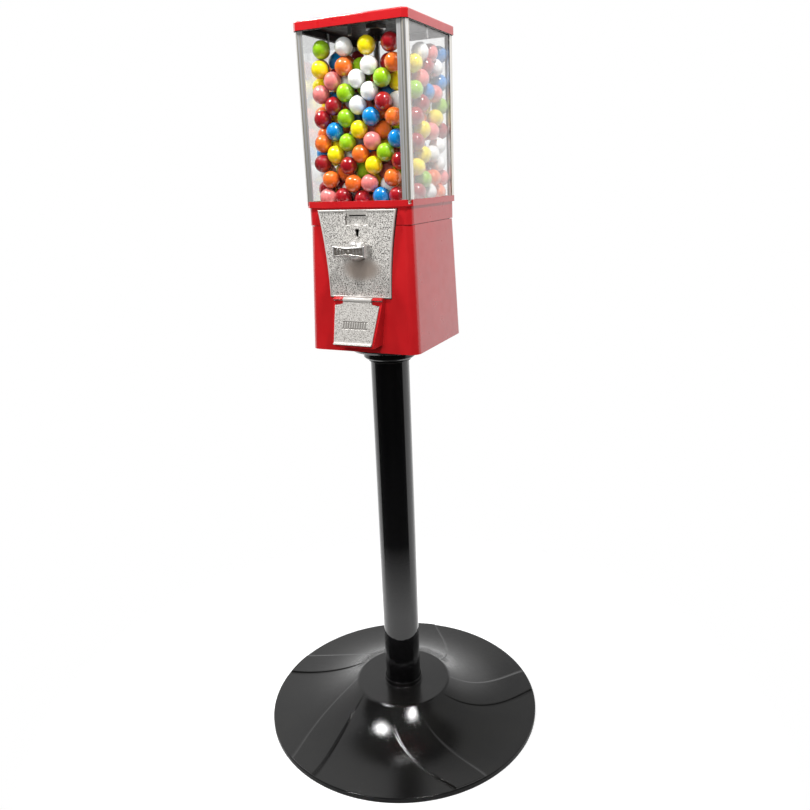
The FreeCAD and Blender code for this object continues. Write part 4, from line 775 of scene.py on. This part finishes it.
# ---------------------------------------------------------------- chute door
def make_door(material):
    """Sloping flap with a curled lip, a rolled edge, plain bars in a shallow panel, and its knuckle."""
    slope = math.radians(20)
    length, thick = 61.5, 2.2
    panel_low, panel_high, panel_half = 27, 38.4, 20    # down the slope, and across it
    curl, pitch, step = 57.2, 3.8, 0.4            # start of the lip, distance between bars, small steps
    marks = [0, 2.2, 2.9, panel_low, panel_low + step, 38, panel_high, curl, length]
    steps = [4, 2, 48, 2, 22, 2, 38, 10]
    v = between([np.array(m) for m in marks], steps).ravel()
    wide = np.interp(v, [0, 2.0, 4.4, length], [22.8, 22.8, 35.2, 30.0])
    inner = np.interp(v, [0, 3, 4.4, length], [0.55, 0.55, 0.8, 0.8])
    x = mirrored([17.0 * inner, 17.4 * inner, wide - 1.4, wide - 0.5, wide], [2, 34, 4, 3], 70)
    vv = np.broadcast_to(v[:, None], x.shape)
    ww = np.broadcast_to(wide[:, None], x.shape)

    edge = np.minimum.reduce([ww - np.abs(x), length - vv])
    lip = 2.6 * ease((vv - curl) / 4.3) ** 1.2
    grain = speckle(x, vv, 2.6, seed=8)
    panel = ease((panel_half - np.abs(x)) / step)
    panel = panel * ease((vv - panel_low) / step) * ease((panel_high - vv) / step)
    phase = (np.abs(x) + pitch / 2) % pitch
    bars = ease((phase - 0.9) / 0.35) * ease((2.9 - phase) / 0.35)
    bars = bars * ease((vv - 28.4) / 0.3) * ease((37 - vv) / 0.3)
    field = ease((edge - 0.9) / 0.6) * ease((56.8 - vv) / 1.2)
    relief = field * (1 - 0.8 * panel) * (0.15 * grain - 0.15) - 0.55 * panel * (1 - bars)
    lift = lip + relief - rounding(edge, 0.7)
    base_y = HINGE_Y - (3.3 + vv * math.sin(slope))
    base_z = HINGE_Z - 3 - vv * math.cos(slope)
    front = np.stack([x, base_y - lift * math.cos(slope), base_z + lift * math.sin(slope)], -1)
    under = -thick + np.maximum(0, lip - 0.4)
    back = np.stack([x, base_y - under * math.cos(slope), base_z + under * math.sin(slope)], -1)
    keep = np.ones((x.shape[0] - 1, x.shape[1] - 1), bool)
    vertices, faces = solid_grid(front * MM, back * MM, keep)

    half = [(22.8, 1.66), (22.8, 3.5), (22.3, 4.0), (8, 4.0)]
    turns = 40
    angles = np.linspace(0, math.tau, turns, endpoint=False)
    rows = [np.stack([np.full(turns, at), HINGE_Y + radius * np.cos(angles),
                      HINGE_Z + radius * np.sin(angles)], -1)
            for at, radius in [(-at, radius) for at, radius in half] + half[::-1]]
    tube, tube_faces = ring_grid(np.stack(rows) * MM)
    # Dirt and painted shade in the grain's low spots, painted shade on the curled lip; the sunk panel is
    # darker between its bars, and the whole door, its back and its knuckle are a little darker.
    low = ease((-0.05 - grain) / 0.8) * field * (1 - panel) * 0.8 + panel * (0.25 + 0.45 * (1 - bars))
    low = np.maximum(low, 0.35 * ease((vv - curl) / 1.5))
    low = 0.36 + 0.64 * low
    dirt_and_shade = np.concatenate([low.ravel(), np.full(low.size + len(tube), 0.3)])
    vertices, faces = joined(vertices, faces, tube, tube_faces)
    piece = new_piece("prize_door", vertices, faces, material, "door")
    paint(piece, "dirt_and_shade", dirt_and_shade)
    paint(piece, "wear_and_shadow", np.zeros(len(dirt_and_shade)))
    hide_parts("chute_door")


# ---------------------------------------------------------------- handle
def make_handle(material):
    """Bow-tie coin handle with softened edges and plain bars on its sunk face, on a domed hub."""
    reach, soft, face, rear, draft = 24.8, 1.6, 114, 94.0, 0.965
    keys_x = [-reach, -24.3, -23.2, -21.9, -21.6, 0, 21.6, 21.9, 23.2, 24.3, reach]
    x = between([np.array(k) for k in keys_x], [3, 3, 4, 2, 60, 60, 2, 4, 3, 3]).ravel()
    rise = 6.2 + 2.1 * (np.abs(x) / reach) ** 1.8
    keys_v = [-rise, -rise + 0.5, -rise + 1.6, -rise + 2.4, -rise + 2.8, rise - 2.8, rise - 2.4, rise - 1.6,
              rise - 0.5, rise]
    up = between(keys_v, [3, 4, 3, 2, 34, 2, 3, 4, 3])
    xx = np.broadcast_to(x[:, None], up.shape)
    rr = np.broadcast_to(rise[:, None], up.shape)
    edge = np.minimum(reach - np.abs(xx), rr - np.abs(up))
    panel = ease((edge - 2.4) / 0.4)
    bars = np.zeros_like(up)
    for at in (-17.5, -12.6, -7.7, 7.7, 12.6, 17.5):
        bars = np.maximum(bars, ease((1.35 - np.abs(xx - at)) / 0.35) * ease((rr - 3.6 - np.abs(up)) / 0.35))
    raised = np.maximum(bars, ease((1.9 - np.sqrt(xx ** 2 + up ** 2)) / 0.5))
    depth = rounding(edge, soft) + 0.7 * panel - 0.45 * raised * panel
    front = np.stack([xx, -(face - depth), HANDLE_Z + up], -1)
    back = np.stack([xx * draft, np.full_like(xx, -rear), HANDLE_Z + up * draft], -1)
    keep = np.ones((front.shape[0] - 1, front.shape[1] - 1), bool)
    vertices, faces = solid_grid(front * MM, back * MM, keep)

    outline = [(4.8, 87.4), (14.6, 87.4), (15.2, 88.0), (15.1, 89.2), (14.7, 91.0), (14.0, 93.0),
               (13.0, 95.2), (11.6, 97.4), (9.8, 99.2), (7.6, 100.4), (4.8, 100.8)]
    turns = 72
    angles = np.linspace(0, math.tau, turns, endpoint=False)
    rows = [np.stack([radius * np.cos(angles), np.full(turns, -out), HANDLE_Z + radius * np.sin(angles)], -1)
            for radius, out in outline]
    vertices, faces = joined(vertices, faces, *ring_grid(np.stack(rows) * MM))
    piece = new_piece("coin_handle", vertices, faces, material, "handle")
    sunk = (0.75 * panel * (1 - 0.6 * raised)).ravel()
    paint(piece, "dirt_and_shade", np.concatenate([sunk, np.zeros(len(vertices) - len(sunk))]))
    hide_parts("handle")


# ---------------------------------------------------------------- softened copies of cast and pressed shells
def softened(node, name, body, materials, width, segments=3, choose=None):
    """A copy of a CAD shell with its flat faces joined up again and its edges rounded."""
    weld, flat, sharp = 0.005 * MM, math.radians(0.6), math.radians(32)
    work = bmesh.new()
    work.from_mesh(NODES[node].data)
    bmesh.ops.remove_doubles(work, verts=work.verts, dist=weld)
    bmesh.ops.dissolve_limit(work, angle_limit=flat, verts=work.verts, edges=work.edges)
    mesh = bpy.data.meshes.new(name)
    work.to_mesh(mesh)
    work.free()
    plain = bpy.data.meshes.new(name + "_mesh")
    plain.from_pydata([tuple(v.co) for v in mesh.vertices], [], [list(p.vertices) for p in mesh.polygons])
    bpy.data.meshes.remove(mesh)
    for material in materials:
        plain.materials.append(material)
    if choose is not None:
        for polygon in plain.polygons:
            polygon.material_index = choose(polygon)
    plain.polygons.foreach_set("use_smooth", [True] * len(plain.polygons))
    piece = bpy.data.objects.new(name, plain)
    bpy.context.scene.collection.objects.link(piece)
    bevel = piece.modifiers.new("soft_edges", "BEVEL")
    bevel.width = width * MM
    bevel.segments = segments
    bevel.limit_method = "ANGLE"
    bevel.angle_limit = sharp
    bevel.use_clamp_overlap = True
    bevel.harden_normals = False
    even = piece.modifiers.new("even_normals", "WEIGHTED_NORMAL")
    even.keep_sharp = False
    even.weight = 80
    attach(piece, body)
    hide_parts(node)
    return piece


def make_shells(enamel, painted_shade, aluminium, casting):
    """The CAD's own cast, pressed and extruded shells, with rounded edges."""
    def underside(polygon):
        """1, the near-black painted shade, for the faces inside the lid."""
        lid_half, lid_wall, lid_ceiling, cut_corner = 84.5, 1.1, 1107.2, 8.0
        x, y, z = polygon.center / MM
        within = max(abs(x), abs(y)) < lid_half - lid_wall and abs(x) + abs(y) < 2 * lid_half - cut_corner
        return 1 if within and z < lid_ceiling and polygon.normal.z < 0.9 else 0

    def inward(polygon):
        """1, the near-black painted shade, for the channel's faces that look inwards or down."""
        x, y, _ = polygon.center
        across, along, _ = polygon.normal
        return 1 if x * across + y * along < -0.02 or polygon.normal.z < -0.5 else 0

    # The lid's inside and the channel's inward faces are painted near black as shade.
    softened("lid", "lid_cap", "lid", [enamel, painted_shade], 0.5, choose=underside)
    softened("globe_frame", "globe_ring", "head", [enamel], 0.7)
    softened("hopper_housing", "housing_shell", "head", [enamel], 0.9)
    softened("cabinet", "cabinet_shell", "stand", [enamel], 1.1)
    softened("top_frame", "top_channel", "head", [aluminium, painted_shade], 0.25, segments=2, choose=inward)
    softened("stand_flange", "pipe_flange", "stand", [casting], 0.8)
    for corner in ("front_left", "front_right", "back_right", "back_left"):
        post, name = "corner_post_" + corner, "globe_post_" + corner
        softened(post, name, "head", [aluminium], 0.35, segments=2)


# ---------------------------------------------------------------- build
def dress(materials):
    """Give every CAD node that stays its finished material."""
    for node, material in materials.items():
        mesh = NODES[node].data
        mesh.materials.clear()
        mesh.materials.append(material)


def main():
    scene = bpy.context.scene
    scene.view_settings.view_transform = "Standard"
    scene.view_settings.look = "None"
    make_camera()
    make_world()
    make_floor()
    head = (0, 0, 0.95)
    make_lamp("overhead_left", (-0.57, -0.43, 1.97), head, (0.18, 0.18), 20)
    make_lamp("overhead_right", (0.57, -0.44, 1.96), head, (0.18, 0.18), 20)
    make_lamp("front_fill", (0.1, -1.4, 1.35), (0, 0, 0.9), (1.0, 1.0), 17, glossy=False)

    enamel = red_enamel()
    casting = black_casting()
    hammered = hammered_metal()
    aluminium = bright_aluminium()
    zinc = worn_metal("zinc_steel", (0.50, 0.51, 0.52), (0.74, 0.74, 0.73))
    diecast = worn_metal("die_casting", (0.36, 0.355, 0.345), (0.56, 0.555, 0.54), (0.35, 0.55), size=2)
    brass = worn_metal("brass", (0.62, 0.42, 0.14), (0.80, 0.60, 0.26), (0.2, 0.4))
    chrome = worn_metal("lock_chrome", (0.72, 0.72, 0.73), (0.88, 0.88, 0.89), (0.05, 0.16), size=6)
    panel = clear_panel()
    plastic = white_plastic()
    steel = galvanised()

    make_gumballs()
    make_base(casting)
    make_plate(hammered)
    make_door(hammered)
    make_handle(cast_polish())
    make_shells(enamel, painted_shade_under_lid(), aluminium, casting)

    looks = {"stand_pipe": black_pipe(), "brushes": bristle(), "drive_pinion": brass}
    looks.update(dict.fromkeys(("product_wheel", "hopper_pan"), plastic))
    looks.update(dict.fromkeys(("panel_front", "panel_right", "panel_back", "panel_left"), panel))
    looks.update(dict.fromkeys(("delivery_chute", "brush_cover", "mech_back"), steel))
    looks.update(dict.fromkeys(("mech_frame", "coin_wheel", "ratchet_wheel", "coin_pawl", "lock_nut"),
                               diecast))
    looks.update(dict.fromkeys(("lock_body", "lock_plug"), chrome))
    looks.update(dict.fromkeys((
        "flange_bolts", "flange_washers", "centre_rod", "rod_nuts", "chute_screw", "hinge_pin", "panel_clips",
        "mech_screws", "mount_screws", "drive_shaft", "retaining_ring", "pawl_pivot", "pawl_spring"), zinc))
    dress(looks)


main()
